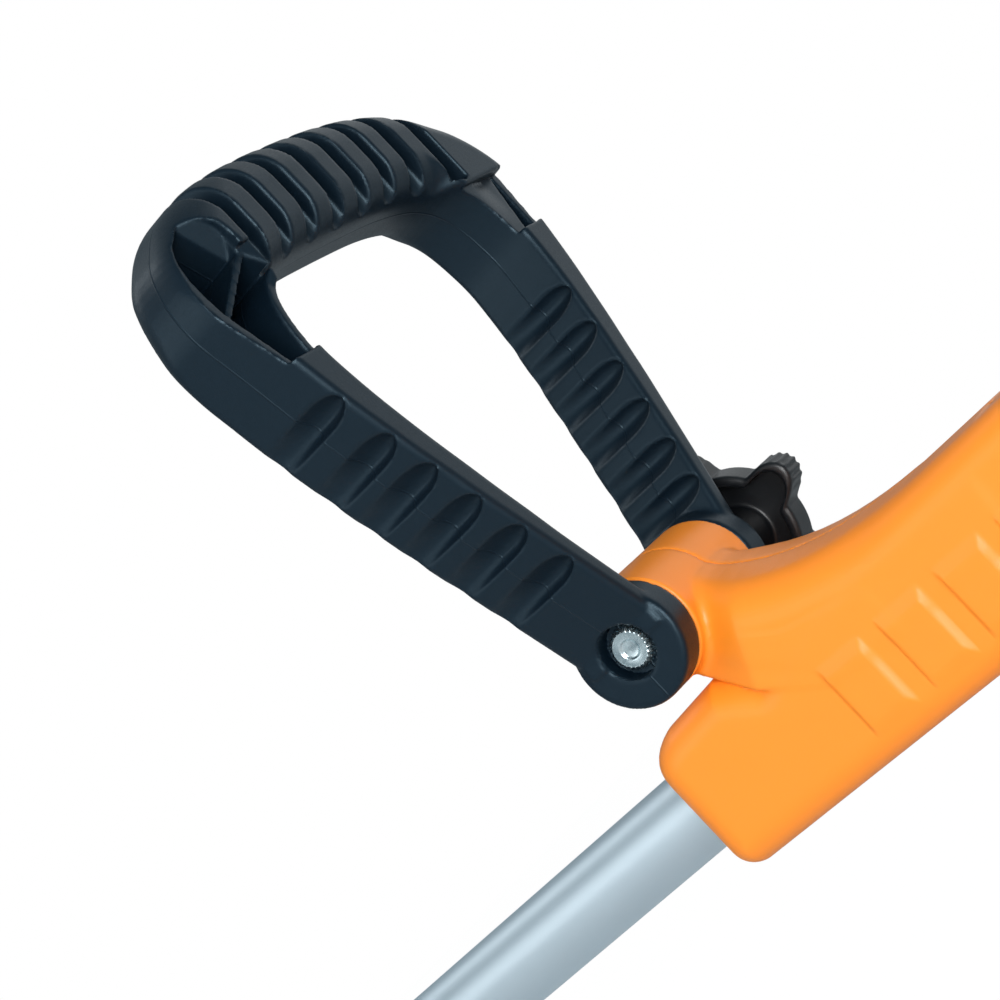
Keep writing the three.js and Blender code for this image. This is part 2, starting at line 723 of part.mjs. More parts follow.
// Plan of the guard: a pad round the spindle that opens out to a skirt behind it.
function guardPlan() {
  const rearAngle = Math.acos(guardReach / guardRadius);
  const shape = new THREE.Shape();
  shape.absarc(0, 0, guardPadRadius, 0.45 * Math.PI, 1.55 * Math.PI);
  shape.absarc(0, 0, guardRadius, -guardSideAngle, -rearAngle);
  shape.absarc(0, 0, guardRadius, rearAngle, guardSideAngle);
  return shape;
}

// Plan of the room under the guard, which is open to the front.
function underGuardPlan() {
  const radius = guardRadius - guardWall;
  const rearAngle = Math.acos((guardReach - guardWall) / radius);
  const openAngle = guardSideAngle + THREE.MathUtils.degToRad(11.4);
  const shape = new THREE.Shape();
  shape.moveTo(-guardPadRadius - 2, 2 * radius);
  shape.lineTo(-guardPadRadius - 2, -2 * radius);
  shape.lineTo(radius * Math.cos(guardSideAngle), -2 * radius);
  shape.absarc(0, 0, radius, -openAngle, -rearAngle);
  shape.absarc(0, 0, radius, rearAngle, openAngle);
  shape.lineTo(radius * Math.cos(guardSideAngle), 2 * radius);
  return shape;
}

function guard() {
  const plateBottom = -guardTop - guardWall;
  const whole = toSolid(plain(guardPlan(), -guardDepth, -guardTop, 8));
  const under = toSolid(plain(underGuardPlan(), -guardDepth - 1, plateBottom, 8));
  let shield = whole.subtract(under);
  shield = shield.subtract(rod('z', 16, -guardDepth, 0));
  for (const side of [-1, 1]) {
    const hole = rod('z', smallScrewRadius + clearance, -guardDepth, 0, smallSides);
    shield = shield.subtract(hole.translate([0, side * guardScrewCircle, 0]));
  }
  return shield;
}

function guardScrew(side) {
  const plateBottom = -guardTop - guardWall;
  const shank = rod('z', smallScrewRadius, plateBottom - 1, 6 - caseFlange, smallSides);
  const head = rod('z', smallScrewHead, plateBottom - 3, plateBottom - clearance, smallSides);
  return shank.add(head).translate([0, side * guardScrewCircle, 0]);
}

const cutterAngle = 52; // degrees from the machine's centre plane

function lineCutter() {
  const outer = guardRadius - guardWall - 1.1;
  const blade = outline([[-15, -headTop - 36], [15, -headTop - 36], [15, -headTop - 16],
    [8, -headTop - 16], [-15, -headTop - 24]]);
  const plate = alongShaft(plain(blade, outer - 1.5, outer));
  return plate.rotate([0, 0, -cutterAngle]);
}

// ---------- line head (drawn down from its top face) ----------

const hubRadius = 11;
const hubDepth = 22;
const eyeletDepth = 26;
const spoolTop = 11;
const spoolBottom = 37;
const spoolRadius = headRadius - 8;
const cupDepth = 42;
const knobNeck = 18;

function headHousing() {
  const wall = 3;
  let cup = turned('z', [
    [spindleRadius + clearance, 0], [headRadius - 8, 0], [headRadius, -7],
    [headRadius, -cupDepth], [headRadius - wall, -cupDepth], [headRadius - wall, -8.5],
    [headRadius - 9, -3.5], [hubRadius, -3.5], [hubRadius, -hubDepth],
    [spindleRadius + clearance, -hubDepth]], barrelSides);
  const hole = rod('y', 3.3 + clearance, -headRadius - 9, headRadius + 9, smallSides);
  return cup.subtract(hole.translate([0, 0, -eyeletDepth])
    .subtract(rod('z', headRadius - 20, -cupDepth, 0)));
}

function eyelet(side) {
  const inner = headRadius - 4;
  const grommet = turned('y', [
    [lineRadius + clearance, inner], [3.3, inner], [3.3, headRadius + clearance],
    [5.5, headRadius + clearance], [5, headRadius + 2.5],
    [lineRadius + clearance, headRadius + 2.5]], smallSides);
  const placed = grommet.translate([0, 0, -eyeletDepth]);
  return side < 0 ? placed.mirror([0, 1, 0]) : placed;
}

function cuttingLine(side) {
  const line = rod('y', lineRadius, headRadius - 10, lineReach, 8).translate(
    [0, 0, -eyeletDepth]);
  return side < 0 ? line.mirror([0, 1, 0]) : line;
}

function headCover() {
  const top = -cupDepth - clearance;
  const lip = headRadius - 3 - clearance;
  const bore = knobNeck + clearance + 0.3;
  return turned('z', [
    [bore, top], [lip - 3, top], [lip - 3, top + 3.5], [lip, top + 3.5], [lip, top],
    [headRadius, top], [headRadius, top - 2], [headRadius - 4, top - 5.5],
    [bore, top - 5.5]], barrelSides);
}

function spool() {
  const bore = hubRadius + 0.5;
  return turned('z', [
    [bore, -spoolTop], [spoolRadius, -spoolTop], [spoolRadius, -spoolTop - 2],
    [20, -spoolTop - 2], [20, 2 - spoolBottom], [spoolRadius, 2 - spoolBottom],
    [spoolRadius, -spoolBottom], [bore, -spoolBottom]]);
}

function woundLine() {
  return ring('z', 20 + clearance, spoolRadius - 9, 2 + clearance - spoolBottom,
    -spoolTop - 2 - clearance);
}

const knobShoulder = cupDepth + 5.5 + bumpTravel + 1.5;
const knobFloor = knobShoulder + 5;

function bumpKnob() {
  return turned('z', [
    [0, -knobFloor], [hubRadius, -knobFloor], [hubRadius, -spoolBottom - clearance],
    [knobNeck, -spoolBottom - clearance], [knobNeck, -knobShoulder],
    [knobNeck + 7, -knobShoulder - 2], [knobNeck + 7, -knobShoulder - 11],
    [knobNeck, -knobShoulder - 17], [0, -knobShoulder - 18]]);
}

// ---------- loop handle (drawn about its pivot) ----------

// Front view in (y, z): two arms that open out from the pivot discs to the grip.
function loopShape() {
  const armTop = 85;
  const outerY = loopHalfWidth - 12.3;
  const innerY = loopHalfWidth - 22;
  const cornerY = loopHalfWidth - 14.2;
  const gripUnder = loopHeight - gripThickness;
  const footWidth = 5;
  const shape = new THREE.Shape();
  shape.moveTo(discOuter, 0);
  shape.lineTo(discOuter, 5);
  shape.lineTo(outerY, armTop);
  shape.bezierCurveTo(outerY + 6.7, armTop + 15.5, loopHalfWidth, gripUnder - 26,
    loopHalfWidth, gripUnder - 10);
  shape.bezierCurveTo(loopHalfWidth, gripUnder + 8, outerY - 2, loopHeight - 9,
    48, loopHeight - 4.2);
  shape.bezierCurveTo(33, loopHeight - 0.8, 16, loopHeight, 0, loopHeight);
  shape.bezierCurveTo(-16, loopHeight, -33, loopHeight - 0.8, -48, loopHeight - 4.2);
  shape.bezierCurveTo(2 - outerY, loopHeight - 9, -loopHalfWidth, gripUnder + 8,
    -loopHalfWidth, gripUnder - 10);
  shape.bezierCurveTo(-loopHalfWidth, gripUnder - 26, -outerY - 6.7, armTop + 15.5,
    -outerY, armTop);
  shape.lineTo(-discOuter, 5);
  shape.lineTo(-discOuter, 0);
  shape.lineTo(footWidth - discOuter, 0);
  shape.lineTo(footWidth - discOuter, 5);
  shape.lineTo(-innerY, armTop);
  shape.bezierCurveTo(-innerY - 5.4, armTop + 15, -cornerY, gripUnder - 34,
    -cornerY, gripUnder - 25);
  shape.bezierCurveTo(-cornerY, gripUnder - 14, -innerY - 1, gripUnder - 7.5,
    -50, gripUnder - 4.2);
  shape.bezierCurveTo(-38, gripUnder - 0.7, -22, gripUnder, 0, gripUnder);
  shape.bezierCurveTo(22, gripUnder, 38, gripUnder - 0.7, 50, gripUnder - 4.2);
  shape.bezierCurveTo(innerY + 1, gripUnder - 7.5, cornerY, gripUnder - 14,
    cornerY, gripUnder - 25);
  shape.bezierCurveTo(cornerY, gripUnder - 34, innerY + 5.4, armTop + 15, innerY, armTop);
  shape.lineTo(discOuter - footWidth, 5);
  shape.lineTo(discOuter - footWidth, 0);
  return shape;
}

function loopHandle() {
  const discInner = bodyHalfWidth + clearance;
  let handle = alongShaft(rounded(loopShape(), handleHalfDepth, 2.2, 0, 4));
  for (const side of [-1, 1]) {
    const disc = rod('y', discRadius, discInner, discOuter);
    handle = handle.add(side < 0 ? disc.mirror([0, 1, 0]) : disc);
  }
  handle = handle.subtract(rod('y', boltRadius + 0.4, -60, 60, smallSides));
  handle = handle.subtract(rod('y', boltHeadRadius + 1, -discOuter - 9,
    boltHeadDepth - discOuter));
  handle = handle.subtract(rod('y', knobHubRadius + 1, discOuter, discOuter + 20));
  const pitch = 2 * (loopHalfWidth - 19.8) / gripSlots;
  for (let slot = 0; slot < gripSlots; slot += 1) {
    const y = (slot - (gripSlots - 1) / 2) * pitch - 4;
    const archDrop = 0.003 * y ** 2;
    handle = handle.subtract(block(handleHalfDepth - gripSlotDepth, handleHalfDepth + 1,
      y - gripSlotWidth / 2, y + gripSlotWidth / 2,
      loopHeight - gripThickness + 4 - archDrop, loopHeight + 9));
  }
  return handle;
}

function pivotBolt() {
  const headBottom = boltHeadDepth - clearance - discOuter;
  return turned('y', [
    [0, -discOuter + 1], [boltHeadRadius - 1, -discOuter + 1],
    [boltHeadRadius, -discOuter + 2], [boltHeadRadius, headBottom],
    [boltRadius, headBottom], [boltRadius, knobOuter - 6], [0, knobOuter - 6]],
  smallSides);
}

function starShape(inset) {
  const shape = new THREE.Shape();
  const points = 10 * knobLobes;
  for (let i = 0; i < points; i += 1) {
    const angle = 2 * Math.PI * i / points;
    const wave = Math.cos(knobLobes * (angle - Math.PI / 12));
    const bump = wave > 0 ? wave ** 3 : 0.35 * wave;
    const radius = knobRadius - knobLobeHeight / 2 + knobLobeHeight * bump - inset;
    const corner = [radius * Math.cos(angle), radius * Math.sin(angle)];
    if (i === 0) shape.moveTo(...corner);
    else shape.lineTo(...corner);
  }
  return shape;
}

// A shape drawn in (x, -z) is extruded outwards along the pivot bolt.
function alongBolt(geometry) {
  return toSolid(geometry.rotateX(-Math.PI / 2));
}

function wingKnob() {
  const hubInner = discOuter + clearance;
  const star = alongBolt(plain(starShape(0), knobInner, knobOuter));
  const hollow = alongBolt(plain(starShape(knobWall), knobInner - 1, knobOuter - knobWall));
  const hub = rod('y', knobHubRadius, hubInner, knobOuter - 1);
  const pocket = rod('y', nutRadius + clearance + 0.2, hubInner - 1, hubInner + nutDepth, 6);
  const bore = rod('y', boltRadius + 0.4, hubInner, knobOuter - 5, smallSides);
  return star.subtract(hollow).add(hub).subtract(pocket).subtract(bore);
}

function knobNut() {
  const from = discOuter + 2 * clearance;
  return rod('y', nutRadius, from, discOuter + nutDepth, 6).subtract(
    rod('y', boltRadius + clearance, 0, 99, smallSides));
}

// ---------- the machine ----------

function group(...children) {
  return new THREE.Group().add(...children);
}

function rearEnd() {
  const { left, right } = housing();
  const screws = housingScrews.map(
    (place, i) => piece(`housing_screw_${i + 1}`, housingScrew(place), steel));
  return group(
    piece('housing_left', left, orangePlastic),
    piece('housing_right', right, orangePlastic),
    ...screws,
    piece('vent_grille_left', ventGrille(-1), blackPlastic),
    piece('vent_grille_right', ventGrille(1), blackPlastic),
    piece('motor_end_cap', motorEndCap(), blackPlastic),
    piece('stator', stator(), laminations),
    piece('brush_holder_upper', brushHolder(true), brass),
    piece('brush_holder_lower', brushHolder(false), brass),
    piece('carbon_brush_upper', carbonBrush(true), carbon),
    piece('carbon_brush_lower', carbonBrush(false), carbon),
    piece('front_motor_bearing', ring('x', motorShaftRadius + clearance, bearingRadius,
      barrelFront + 4, barrelFront + 4 + bearingWidth), steel),
    piece('rear_motor_bearing', ring('x', motorShaftRadius + clearance, bearingRadius,
      barrelRear - 10, barrelRear - 10 + bearingWidth), steel),
    piece('power_inlet', powerInlet(), blackPlastic),
    piece('switch_block', block(switchFront, switchFront + switchLength - clearance,
      -switchHalfWidth, switchHalfWidth, switchBottom, switchTop), greyPlastic),
    piece('trigger_pin', triggerPin(), steel),
    piece('trigger', trigger(), blackPlastic),
    piece('trigger_spring', at(helix('z', 2.6, 0.5, triggerSpringBottom, triggerSpringTop, 4),
      triggerSpringX, 0), steel),
    piece('lock_button', lockButton(), blackPlastic),
    piece('lock_spring', at(helix('z', 3, 0.5, lockShelf + 2 + clearance,
      lockFlangeTop - 3 - clearance, 4), lockX, 0), steel),
  );
}

function driveLine() {
  const join = barrelFront - 10;
  const bore = motorShaftRadius + clearance;
  const pinion = bevelGear(pinionTeeth, pinionPitch, pinionBack, driveRadius + clearance, true);
  // The gear is drawn up +Z. Its first tooth must point up once its back faces the rear.
  const pinionOnShaft = pinion.rotate([0, 90, 0]).translate([headX, 0, 0]);
  return group(
    piece('motor_shaft', rod('x', motorShaftRadius, join + 1, barrelRear + 4, smallSides),
      steel),
    piece('armature', armature(), laminations),
    piece('commutator', ring('x', bore, commutatorRadius, commutatorFront,
      commutatorFront + commutatorLength), copper),
    piece('cooling_fan', coolingFan(), greyPlastic),
    piece('shaft_coupling', shaftCoupling(join), steel),
    piece('drive_shaft', rod('x', driveRadius, headX + pinionBack * gearFaceShare - 1,
      join - 1, 12), steel),
    piece('pinion_gear', pinionOnShaft, steel),
  );
}

function shaft() {
  const tubeInner = tubeRadius - tubeWall;
  const bushLength = 18;
  const places = {
    shaft_bush_front: headX + tubeFront + 30,
    shaft_bush_middle: (headX + tubeRear) / 2,
    shaft_bush_rear: tubeRear - 40,
  };
  const bushes = Object.entries(places).map(([name, x]) => piece(name, ring('x',
    driveRadius + clearance, tubeInner - clearance, x, x + bushLength, 20), greyPlastic));
  return group(
    piece('shaft_tube', ring('x', tubeInner, tubeRadius, headX + tubeFront, tubeRear, 32),
      aluminium),
    ...bushes);
}

function gearHead() {
  const head = group(
    piece('gear_case', gearCase(), castAluminium),
    piece('gear_case_cap', gearCaseCap(), castAluminium),
    piece('clamp_screw', clampScrew(), steel),
    piece('input_bearing', onShaft(ring('x', driveRadius + clearance, inputBearingRadius,
      inputSeat, inputSeat + bearingWidth)), steel),
    piece('output_bearing', ring('z', spindleRadius + clearance, bearingRadius,
      -outputSeat - bearingWidth, -outputSeat), steel),
    piece('guard', guard(), blackPlastic),
    piece('guard_screw_left', guardScrew(-1), steel),
    piece('guard_screw_right', guardScrew(1), steel),
    piece('line_cutter', lineCutter(), steel),
    piece('output_spindle', outputSpindle(), steel),
    piece('crown_gear', bevelGear(crownTeeth, crownPitch, crownBack,
      spindleRadius + clearance, false), steel),
  );
  const lineHead = group(
    piece('head_housing', headHousing(), blackPlastic),
    piece('head_cover', headCover(), blackPlastic),
    piece('eyelet_left', eyelet(-1), brass),
    piece('eyelet_right', eyelet(1), brass),
    piece('cutting_line_left', cuttingLine(-1), nylonLine),
    piece('cutting_line_right', cuttingLine(1), nylonLine),
    piece('spool', spool(), blackPlastic),
    piece('wound_line', woundLine(), nylonLine),
    piece('bump_knob', bumpKnob(), blackPlastic),
    piece('bump_spring', helix('z', 8, 0.8, clearance - knobFloor, -hubDepth - clearance, 6),
      steel),
  );
  lineHead.position.z = -headTop;
  head.add(lineHead);
  head.rotation.y = headAxis;
  head.position.x = headX;
  return head;
}

function frontHandle() {
  const handle = group(
    piece('loop_handle', loopHandle(), blackPlastic),
    piece('pivot_bolt', pivotBolt(), chrome),
    piece('wing_knob', wingKnob(), blackPlastic),
    piece('knob_nut', knobNut(), steel),
  );
  handle.position.z = pivotHeight;
  return handle;
}

// Levels the line from the guard's rear edge to the foot, and puts it at z = 0.
function layOnFloor(machine) {
  machine.rotation.y = Math.atan(floorSlope);
  const trimmer = group(machine);
  const size = new THREE.Box3().setFromObject(trimmer, true);
  trimmer.position.set(-(size.min.x + size.max.x) / 2, 0, -size.min.z);
  return trimmer;
}

const trimmer = layOnFloor(group(rearEnd(), driveLine(), shaft(), gearHead(), frontHandle()));

export default trimmer;
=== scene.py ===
import json
import math

import bpy
import numpy as np
from mathutils import Matrix, Vector


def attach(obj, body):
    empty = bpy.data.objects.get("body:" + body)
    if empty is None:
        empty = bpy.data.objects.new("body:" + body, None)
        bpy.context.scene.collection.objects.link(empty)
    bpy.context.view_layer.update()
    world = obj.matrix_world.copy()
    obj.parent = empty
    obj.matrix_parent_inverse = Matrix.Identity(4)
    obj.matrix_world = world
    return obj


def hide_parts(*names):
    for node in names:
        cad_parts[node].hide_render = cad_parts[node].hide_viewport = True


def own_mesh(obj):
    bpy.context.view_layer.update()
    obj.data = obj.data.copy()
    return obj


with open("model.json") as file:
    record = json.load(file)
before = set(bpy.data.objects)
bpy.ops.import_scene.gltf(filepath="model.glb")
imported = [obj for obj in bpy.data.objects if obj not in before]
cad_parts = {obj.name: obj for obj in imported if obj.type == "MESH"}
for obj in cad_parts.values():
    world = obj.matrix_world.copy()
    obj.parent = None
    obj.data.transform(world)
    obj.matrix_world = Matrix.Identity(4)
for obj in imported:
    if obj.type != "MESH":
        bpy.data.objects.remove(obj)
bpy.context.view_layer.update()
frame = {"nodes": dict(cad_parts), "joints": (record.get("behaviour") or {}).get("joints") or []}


# ------------------------------------------------------------
# Shaft tube: a drawn aluminium tube, 26 mm across with a 1.5 mm wall, satin anodised in its
# natural silver. It is clamped in the gear case at the front and in the housing at the rear.

MM = 0.001

joints = {joint["name"]: joint for joint in frame["joints"]}


def local_frame(origin, x_axis, z_axis):
    """The matrix that takes a piece drawn in millimetres about origin to its place."""
    x, z = Vector(x_axis), Vector(z_axis)
    place = Matrix.Scale(MM, 4)
    for column, axis in enumerate((x, z.cross(x), z)):
        for row in range(3):
            place[row][column] = axis[row] * MM
    place.translation = Vector(origin)
    return place


shaft_axis = Vector(joints["drive_line_spin"]["axis"])
shaft_up = shaft_axis.cross(Vector((0, 1, 0)))
pivot = Vector(joints["loop_handle_tilt"]["pos_m"])
PIVOT_HEIGHT = 48  # of the loop handle's pivot above the tube's axis
at_pivot = local_frame(pivot, shaft_axis, shaft_up)
at_shaft = local_frame(pivot - shaft_up * PIVOT_HEIGHT * MM, shaft_axis, shaft_up)


def linear(hex_colour):
    """An sRGB hex colour as linear red, green, blue and alpha."""
    values = [int(hex_colour[i:i + 2], 16) / 255 for i in (1, 3, 5)]
    curve = [v / 12.92 if v <= 0.04045 else ((v + 0.055) / 1.055) ** 2.4 for v in values]
    return (*curve, 1.0)


def add(tree, kind, sockets=None, **settings):
    """Adds a node. Each socket is given a value, or is linked to another node's output."""
    new = tree.nodes.new(kind)
    for name, value in settings.items():
        setattr(new, name, value)
    for name, value in (sockets or {}).items():
        if isinstance(value, bpy.types.NodeSocket):
            tree.links.new(value, new.inputs[name])
        else:
            new.inputs[name].default_value = value
    return new


def blank(name):
    """A material without nodes, and its tree."""
    material = bpy.data.materials.new(name)
    material.use_nodes = True
    material.node_tree.nodes.clear()
    return material, material.node_tree


def finish(name, colour, roughness, **surface):
    """A material with one Principled surface, and the tree and coordinates to refine it."""
    material, tree = blank(name)
    shader = add(tree, "ShaderNodeBsdfPrincipled", {
        "Base Color": linear(colour), "Roughness": roughness, **surface})
    add(tree, "ShaderNodeOutputMaterial", {"Surface": shader.outputs[0]})
    return material, tree, shader, add(tree, "ShaderNodeTexCoord").outputs["Object"]


def noise(tree, place, size, detail=2.0, roughness=0.5):
    """Noise with patches of about one size."""
    return add(tree, "ShaderNodeTexNoise", {
        "Vector": place, "Scale": 1 / size, "Detail": detail, "Roughness": roughness}).outputs[0]


def spread(tree, value, low, high, start=0.0, end=1.0):
    """Lets a value that runs from start to end run from low to high."""
    return add(tree, "ShaderNodeMapRange", {
        "Value": value, "From Min": start, "From Max": end,
        "To Min": low, "To Max": high}).outputs[0]


def texture(tree, shader, roughness, height=None, distance=0.0, strength=1.0):
    """An uneven roughness, and relief up to a distance where a height is given."""
    tree.links.new(roughness, shader.inputs["Roughness"])
    if height is not None:
        relief = add(tree, "ShaderNodeBump", {
            "Height": height, "Strength": strength, "Distance": distance})
        tree.links.new(relief.outputs[0], shader.inputs["Normal"])


def anodised_aluminium(name, colour, direction):
    """Drawn and etched before anodising: fine draw lines along the tube, a soft grey sheen."""
    material, tree, shader, place = finish(name, colour, 0.48, Metallic=1.0)
    line = 0.5 * MM  # draw lines are finer than this, and are drawn as coarse as they show
    stretch = [1 / line if abs(part) < 0.5 else 2.5 for part in direction]
    mapping = add(tree, "ShaderNodeMapping", {"Vector": place, "Scale": stretch})
    streaks = noise(tree, mapping.outputs[0], 1.0, 3.0, 0.6)
    texture(tree, shader, spread(tree, streaks, 0.44, 0.52), streaks, 0.05 * MM, 0.05)
    return material


def linked(name, data):
    """An object of the scene that shows the data."""
    piece = bpy.data.objects.new(name, data)
    bpy.context.scene.collection.objects.link(piece)
    return piece


def set_in_place(mesh, place, smooth_angle=35):
    """Takes a mesh drawn in millimetres to its place in the row's frame, as an object."""
    mesh.transform(place)
    mesh.shade_smooth()
    mesh.set_sharp_from_angle(angle=math.radians(smooth_angle))
    return linked(mesh.name, mesh)


def plain_mesh(name, points, faces, *materials):
    mesh = bpy.data.meshes.new(name)
    mesh.from_pydata([tuple(map(float, point)) for point in points], [], faces)
    for material in materials:
        mesh.materials.append(material)
    return mesh


def put(piece, body, slot, *nodes):
    """Lets the piece ride on its body in place of its CAD nodes. The slot is not used."""
    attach(piece, body)
    if nodes:
        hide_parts(*nodes)


def softened(outline, radius, steps=4):
    """A closed [radius, place] outline with each of its corners rounded by up to radius."""
    points = [Vector(point) for point in outline]
    result = []
    for i, corner in enumerate(points):
        before, after = points[i - 1] - corner, points[(i + 1) % len(points)] - corner
        on_axis = corner.x < 1e-6
        reach = 0 if on_axis else min(radius, 0.45 * before.length, 0.45 * after.length)
        start, end = corner + before.normalized() * reach, corner + after.normalized() * reach
        if reach == 0:
            result.append(tuple(corner))
            continue
        for step in range(steps + 1):
            t = step / steps
            point = start * (1 - t) ** 2 + corner * 2 * t * (1 - t) + end * t ** 2
            result.append(tuple(point))
    return result


def turned(outline, sides, axis="x", soft=0.4):
    """Points and faces of a closed [radius, place] outline turned about an axis."""
    profile = softened(outline, soft)
    points, rings = [], []
    for radius, place in profile:
        if radius < 1e-6:
            rings.append([len(points)] * sides)
            points.append((place, 0, 0))
            continue
        rings.append(list(range(len(points), len(points) + sides)))
        for side in range(sides):
            angle = 2 * math.pi * side / sides
            points.append((place, radius * math.cos(angle), radius * math.sin(angle)))
    faces = []
    for i, ring in enumerate(rings):
        after = rings[(i + 1) % len(rings)]
        for side in range(sides):
            turn = (side + 1) % sides
            corners = [ring[side], after[side], after[turn], ring[turn]]
            face = list(dict.fromkeys(corners))
            if len(face) > 2:
                faces.append(face)
    area = sum(a[1] * b[0] - a[0] * b[1] for a, b in zip(profile, profile[1:] + profile[:1]))
    if area > 0:
        faces = [face[::-1] for face in faces]
    shift = "xyz".index(axis)
    return [point[-shift:] + point[:-shift] for point in points], faces


def turned_piece(name, outline, sides, place, material, axis="x", soft=0.4):
    """A piece whose surface is an outline turned about an axis."""
    mesh = plain_mesh(name, *turned(outline, sides, axis, soft), material)
    mesh.validate()
    return set_in_place(mesh, place)


TUBE_RADIUS = 13
TUBE_WALL = 1.5
TUBE_FRONT = -1184.4
TUBE_REAR = 130

silver_anodised = anodised_aluminium("silver_anodised_aluminium", "#d6e4ec", (1, 0, 0))
put(turned_piece("shaft_tube_drawn", [
    (TUBE_RADIUS - TUBE_WALL, TUBE_FRONT), (TUBE_RADIUS, TUBE_FRONT),
    (TUBE_RADIUS, TUBE_REAR), (TUBE_RADIUS - TUBE_WALL, TUBE_REAR)], 96, at_shaft,
    silver_anodised), "frame", "shaft_aluminium", "shaft_tube")


# ------------------------------------------------------------
# Housing: two injection-moulded halves in orange glass-filled nylon, joined on the middle
# plane. They hold the tube, carry the handle's pivot boss, and form the grip and the barrel.

def moulded_plastic(name, colour, roughness, grain, depth, mottle=0.03, gleam="#ffffff"):
    """Injection-moulded: a fine spark-eroded grain, gently uneven gloss and colour."""
    material, tree, shader, place = finish(name, colour, roughness, **{
        "IOR": 1.52, "Specular Tint": linear(gleam)})
    shade = spread(tree, noise(tree, place, 18 * MM, 3.0, 0.55), 1 - mottle, 1 + mottle)
    # Mix has a pair of sockets for each kind of value: 6 and 7 are the two colours.
    tint = add(tree, "ShaderNodeMix", {"Factor": 1.0, 6: linear(colour), 7: shade},
               data_type="RGBA", blend_type="MULTIPLY")
    tree.links.new(tint.outputs[2], shader.inputs["Base Color"])
    speckle = noise(tree, place, grain, 2.0, 0.7)
    gloss = spread(tree, speckle, roughness - 0.06, roughness + 0.06, 0.3, 0.7)
    texture(tree, shader, gloss, speckle, depth)
    return material


def steps(*stretches):
    """Places along one axis, from (start, end, step) stretches that follow each other."""
    parts = [np.arange(start, end - step / 4, step) for start, end, step in stretches]
    return np.concatenate(parts + [[stretches[-1][1]]])


def skin(field, *axes):
    """Points and faces of the surface where field(x, y, z) is zero, negative being inside.

    Each cell of the lattice that the surface passes through gets one point, at the middle of
    the places where the surface crosses the cell's edges. Cells round an edge share a face."""
    x, y, z = np.meshgrid(*[axis.astype(np.float32) for axis in axes], indexing="ij",
                          sparse=True)
    depth = np.ascontiguousarray(np.broadcast_to(
        field(x, y, z), [len(axis) for axis in axes])).astype(np.float32)
    cells = np.array(depth.shape) - 1
    spots, around = [], []
    for a in range(3):
        b, c = (a + 1) % 3, (a + 2) % 3
        near = [slice(None)] * 3
        near[a] = slice(0, -1)
        far = list(near)
        far[a] = slice(1, None)
        low = np.argwhere((depth[tuple(near)] < 0) != (depth[tuple(far)] < 0))
        high = low.copy()
        high[:, a] += 1
        d_low, d_high = depth[tuple(low.T)], depth[tuple(high.T)]
        spot = np.stack([axes[k][low[:, k]] for k in range(3)], 1)
        spot[:, a] += (d_low / (d_low - d_high)) * (axes[a][high[:, a]] - spot[:, a])
        ring = []
        for step_b, step_c in ((0, 0), (-1, 0), (-1, -1), (0, -1)):
            cell = low.copy()
            cell[:, b] += step_b
            cell[:, c] += step_c
            ring.append(np.ravel_multi_index(cell.T, cells))
        ring = np.stack(ring, 1)
        ring[d_low >= 0] = ring[d_low >= 0][:, ::-1]
        spots.append(spot)
        around.append(ring)
    spots, around = np.concatenate(spots), np.concatenate(around)
    _, index = np.unique(around.ravel(), return_inverse=True)
    index = index.reshape(-1)
    count = np.bincount(index)
    points = np.stack([
        np.bincount(index, np.repeat(spots[:, k], 4)) / count for k in range(3)], 1)
    return points, index.reshape(-1, 4)


def moulded_piece(name, field, axes, place, material):
    """A piece whose surface is a field's zero level."""
    points, faces = skin(field, *axes)
    mesh = bpy.data.meshes.new(name)
    mesh.vertices.add(len(points))
    mesh.vertices.foreach_set("co", points.astype(np.float32).ravel())
    mesh.loops.add(faces.size)
    mesh.loops.foreach_set("vertex_index", faces.astype(np.int32).ravel())
    mesh.polygons.add(len(faces))
    mesh.polygons.foreach_set("loop_start", np.arange(0, faces.size, 4, dtype=np.int32))
    mesh.update(calc_edges=True)
    mesh.validate()
    mesh.materials.append(material)
    return set_in_place(mesh, place, 45)


def both(a, b):
    return np.maximum(a, b)


def either(a, b, fillet=0.0):
    """The union of two fields, with a concave fillet of about that size between them."""
    if not fillet:
        return np.minimum(a, b)
    near = np.maximum(fillet - np.abs(a - b), 0) / fillet
    return np.minimum(a, b) - near * near * fillet / 4


def without(a, b, soft=0.0):
    """The first field less the second, with the new edges softened."""
    return -either(-a, b, soft)


def inside_outline(points, u, v):
    """Signed distance to a closed outline in the (u, v) plane, negative inside."""
    nearest, inside = None, None
    for (u0, v0), (u1, v1) in zip(points, points[1:] + points[:1]):
        du, dv = u1 - u0, v1 - v0
        if du * du + dv * dv < 1e-9:
            continue
        along = np.clip(((u - u0) * du + (v - v0) * dv) / (du * du + dv * dv), 0, 1)
        gap = (u - u0 - along * du) ** 2 + (v - v0 - along * dv) ** 2
        nearest = gap if nearest is None else np.minimum(nearest, gap)
        if dv:
            crossed = ((v0 <= v) != (v1 <= v)) & (u < u0 + (v - v0) * du / dv)
            inside = crossed if inside is None else inside ^ crossed
    return np.where(inside, -1, 1) * np.sqrt(nearest)


def slab(flat, across, half, edge):
    """An outline's field given a thickness of twice half, with edges rounded by edge."""
    u, v = flat + edge, np.abs(across) - half + edge
    return np.hypot(np.maximum(u, 0), np.maximum(v, 0)) + np.minimum(both(u, v), 0) - edge


def turned_field(profile, radius, place):
    """A [radius, place] outline's field, turned."""
    return both(inside_outline(profile, radius, place), -1)


